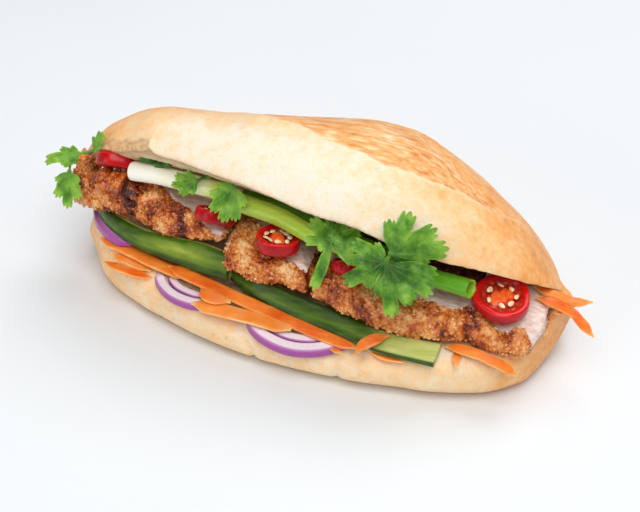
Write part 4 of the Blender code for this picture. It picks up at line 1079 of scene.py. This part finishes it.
def slice_chillies():
    """Rings of chilli: skin, cut wall, pockets of pith, core and seeds."""
    skin, flesh, core, pith = range(4)
    finishes = [chilli_skin(), chilli_flesh(), chilli_core(), chilli_pith()]
    seed_finish = chilli_seed()
    draw = random.Random(7)
    sides = 96
    for name, (centre, radius, height, tip, roll, seeds) in CHILLIES.items():
        place = (Matrix.Translation(centre) @ Matrix.Rotation(math.radians(tip), 4, "X")
                 @ Matrix.Rotation(math.radians(roll), 4, "Y"))
        wall = CHILLI_WALL * radius
        # Section from the middle outwards: (distance, level, what shows)
        profile = [(0.2, -0.35, core), (wall * 0.3, -0.3, core), (wall * 0.42, -0.6, core),
                   (wall * 0.5, -1.7, pith), (wall * 0.86, -2.1, pith), (wall, -1.3, flesh),
                   (wall + 0.2, -0.4, flesh), (wall + 0.7, 0.0, flesh), (radius - 0.6, 0.05, flesh),
                   (radius - 0.15, -0.25, flesh), (radius, -0.8, skin), (radius + 0.1, -height / 2, skin),
                   (radius, 0.7 - height, skin), (radius - 0.5, -height, skin)]
        rings = []
        for r, z, _ in profile:
            ring = []
            for k in range(sides):
                turn = math.tau * k / sides
                bend = 1 + 0.035 * math.sin(3 * turn + radius) + 0.02 * math.sin(5 * turn + 2 * radius)
                inside = 1 - ease(r, wall * 0.45, wall)
                lobed = 1 + inside * (0.3 * math.cos(2 * turn + radius) + 0.12 * math.sin(5 * turn))
                ring.append(place @ Vector((r * bend * lobed * math.cos(turn),
                                            r * bend * lobed * math.sin(turn), z)))
            rings.append(ring)
        piece = closed_form(name + "_ring", rings, finishes, None, lambda r, i: profile[r][2])
        stand_for(piece, name)
        stand_for(chilli_seeds(name, place, wall, seeds, seed_finish, draw), name)


def cut_spring_onion():
    """A ribbed stem, cut aslant at its hollow green end, and the leaf behind it."""
    mat = spring_onion_skin()
    sides = 48
    path = along(SPRING_ONION_PATH, 200)
    radii = [at(SPRING_ONION_RADIUS, p.x) for p in path]
    across = [2 * r for r in radii]
    rings = []
    for ring, middle in zip(strip_rings(path, across, across, [0] * len(path), sides, 1.0), path):
        ridge = STEM_RIB_HEIGHT * ease(middle.x, -60, -20)
        rings.append([p + (p - middle) * ridge * math.cos(STEM_RIBS * math.tau * k / sides)
                      for k, p in enumerate(ring)])
    end = path[-1]
    inward = (path[-8] - end).normalized()
    toward_front = Vector((0, -0.75, 0.65))
    ragged = [CUT_RAGGED * grain(k * 0.5, 0, 1, 2) for k in range(sides)]
    for i in range(1, SLANTED_RINGS + 1):
        share = (SLANTED_RINGS + 1 - i) / SLANTED_RINGS
        rings[-i] = [p + inward * share * (CUT_SLANT * (p - path[-i]).dot(toward_front) + uneven)
                     for uneven, p in zip(ragged, rings[-i])]
    opening = rings[-1]
    green = [[at(STEM_GREEN, p.x)] * sides for p in path]
    for depth, share, tone in STEM_HOLLOW:
        rings.append([end + (p - end) * share + inward * depth for p in opening])
        green.append([tone] * sides)
    stand_for(closed_form("spring_onion_stem", rings, [mat], {"green": green}),
              "spring_onion")
    count, sides = 90, 24
    leaf = along(SPRING_LEAF_PATH, count)
    widths = [SPRING_LEAF_WIDTH * (0.5 + 0.5 * ease(min(i, count - 1 - i) / count, 0, 0.25))
              for i in range(count)]
    heights = [w * SPRING_LEAF_THICKNESS for w in widths]
    rings = strip_rings(leaf, widths, heights, [SPRING_LEAF_LEAN] * count, sides, 1.0)
    green = [[SPRING_LEAF_GREEN] * sides] * count
    stand_for(closed_form("spring_onion_green", rings, [mat], {"green": green}),
              "spring_onion_leaf")


def blade_reach(turn, lobes):
    """Reach of a blade's outline in a direction: rounded lobes that widen below, with rounded teeth."""
    degrees = math.degrees(turn)
    best = 1.0
    for direction, reach, half in lobes:
        off = abs((degrees - direction + 180) % 360 - 180) / half
        tooth = 1 - TOOTH_DEPTH + TOOTH_DEPTH * abs(math.cos(1.6 * math.pi * off)) ** 0.6
        for wider, share in LOBE_STEPS:
            if off < wider:
                best = max(best, share * reach * (1 - (off / wider) ** 3) ** LOBE_ROUNDNESS * tooth)
    return best


def vein_share(turn, distance, lobes):
    """How near a point of the blade is to a vein, from 0 to 1."""
    share = 0.0
    for direction, reach, _ in lobes:
        off = turn - math.radians(direction) - VEIN_BEND * distance * math.sin(3 * direction)
        if math.cos(off) > 0 and distance < reach * VEIN_REACH:
            thin = VEIN_WIDTH * (1 - 0.6 * distance / reach)
            share = max(share, hump(distance * math.sin(off), 0, thin))
    return share


def make_blade(name, mat, joint, facing, seed, lobes, shade):
    """Thin wavy blade round the place where its stalk meets it."""
    normal = Vector(facing).normalized()
    right = Vector((1, 0, 0))
    right = (right - normal * right.dot(normal)).normalized()
    up = normal.cross(right)
    turns = [math.tau * k / LEAF_TURNS - math.pi for k in range(LEAF_TURNS)]
    outline = [blade_reach(turn, lobes) for turn in turns]
    steps = [0.03] + [((s + 1) / LEAF_STEPS) ** 0.85 for s in range(LEAF_STEPS)]
    rings, veins, rims = [], [], []
    for lift, order in ((LEAF_THICKNESS / 2, steps), (-LEAF_THICKNESS / 2, steps[::-1])):
        for step in order:
            ring = []
            for turn, reach in zip(turns, outline):
                distance = step * reach
                u, v = distance * math.cos(turn), distance * math.sin(turn)
                vein = vein_share(turn, distance, lobes)
                # Broad and fine waves, a crimped edge and sunken veins, but flat at the joint
                wave = 3.0 * grain(u, v, seed, 8) + 0.9 * grain(u, v, seed, 3.5)
                wave += 0.6 * step ** 4 * grain(u, v, seed + 5, 2.2) - 0.06 * vein
                wave *= min(1.0, distance / 3)
                edge = lift * (1 - 0.5 * step ** 6)
                ring.append(Vector(joint) + right * u + up * v
                            + normal * (wave - LEAF_DROOP * distance * distance + edge))
                veins.append(vein)
                # Darker blades are lower in tone, the one under the lip darkened as painted shade
                rims.append(step ** 3 - shade)
            rings.append(ring)
    return closed_form(name, rings, [mat], {"vein": veins, "rim": rims})


def scatter_coriander():
    """Sprigs and single leaves, each with its stalk."""
    mat = coriander_leaf()
    sides = 12
    for name, blades in CORIANDER.items():
        for number, (joint, facing, seed, lobes) in enumerate(blades):
            blade = make_blade("%s_blade_%d" % (name, number), mat, joint, facing, seed, lobes,
                               LEAF_TONE_AND_PAINTED_SHADE.get(name, 0))
            end = Vector(STALKS[name][number])
            bend = (end + Vector(joint)) / 2 + Vector((0, -0.4, 0.4))
            path = along([end, bend, Vector(joint)], STALK_POINTS)
            thick = [STALK_THICKNESS - 0.02 * i for i in range(STALK_POINTS)]
            rings = strip_rings(path, thick, thick, [0] * STALK_POINTS, sides, 1.0)
            marks = {key: [[value] * sides] * STALK_POINTS for key, value in (("vein", 0.6), ("rim", 0.0))}
            stalk = closed_form("%s_stalk_%d" % (name, number), rings, [mat], marks)
            stand_for(blade, name)
            stand_for(stalk, name)


def set_floor():
    """Pale, cool table top, smooth and matt."""
    mat = clouded("matt pale table top", 180, [(0.3, "#E4E8EB"), (0.7, "#E7EBEE")], {"Roughness": 0.7})
    bpy.ops.mesh.primitive_plane_add(size=12)
    floor = bpy.context.object
    floor.name = "table"
    floor.data.materials.append(mat)


def hang_lamp(name, place, size, watts, tint):
    """Large soft lamp that faces the sandwich."""
    lamp = bpy.data.lights.new(name, "AREA")
    lamp.shape = "DISK"
    lamp.size = size
    lamp.energy = watts
    lamp.color = linear(tint)[:3]
    holder = bpy.data.objects.new(name, lamp)
    holder.location = place
    holder.rotation_euler = (-Vector(place)).to_track_quat("-Z", "Y").to_euler()
    bpy.context.scene.collection.objects.link(holder)


def set_light():
    """Wide soft lamps high in front and behind, a low card at the left and a dim room all round."""
    world = bpy.data.worlds.new("dim room")
    bpy.context.scene.world = world
    world.use_nodes = True
    room = world.node_tree.nodes["Background"].inputs
    room["Color"].default_value = linear("#F6F9FF")
    room["Strength"].default_value = ROOM_STRENGTH
    for lamp in LAMPS:
        hang_lamp(*lamp)
    bpy.context.scene.view_settings.view_transform = "Standard"


def set_camera():
    """The photograph's view: 40 degrees down, 14 degrees round, with a long lens."""
    azimuth, elevation = math.radians(14), math.radians(40)
    distance = 700.0
    lens = 96.0
    aim = Vector((0, 0, 10))
    aim_pixel = (319.46, 285.40)
    width, height, sensor = 640, 512, 36.0
    back = Vector((math.sin(azimuth) * math.cos(elevation), -math.cos(azimuth) * math.cos(elevation),
                   math.sin(elevation)))
    right = Vector((math.cos(azimuth), math.sin(azimuth), 0))
    up = back.cross(right)
    step = distance / (lens / sensor * width)
    eye = aim + back * distance - right * (aim_pixel[0] - width / 2) * step
    eye -= up * (height / 2 - aim_pixel[1]) * step
    data = bpy.data.cameras.new("camera")
    data.lens = lens
    data.sensor_width = sensor
    data.clip_start = 0.01
    camera = bpy.data.objects.new("camera", data)
    camera.matrix_world = (Matrix.Translation(eye * MM)
                           @ Matrix((right, up, back)).transposed().to_4x4())
    bpy.context.scene.collection.objects.link(camera)
    bpy.context.scene.camera = camera


set_camera()
set_light()
set_floor()
bake_roll()
coat_and_meat = [fried_crumb(), cooked_pork()]
shaker = random.Random(11)
for strip in ("cutlet_left", "cutlet_middle", "cutlet_right"):
    fry_cutlet(strip, coat_and_meat, shaker)
slice_cucumbers()
shred_carrots()
slice_onions()
slice_chillies()
cut_spring_onion()
scatter_coriander()
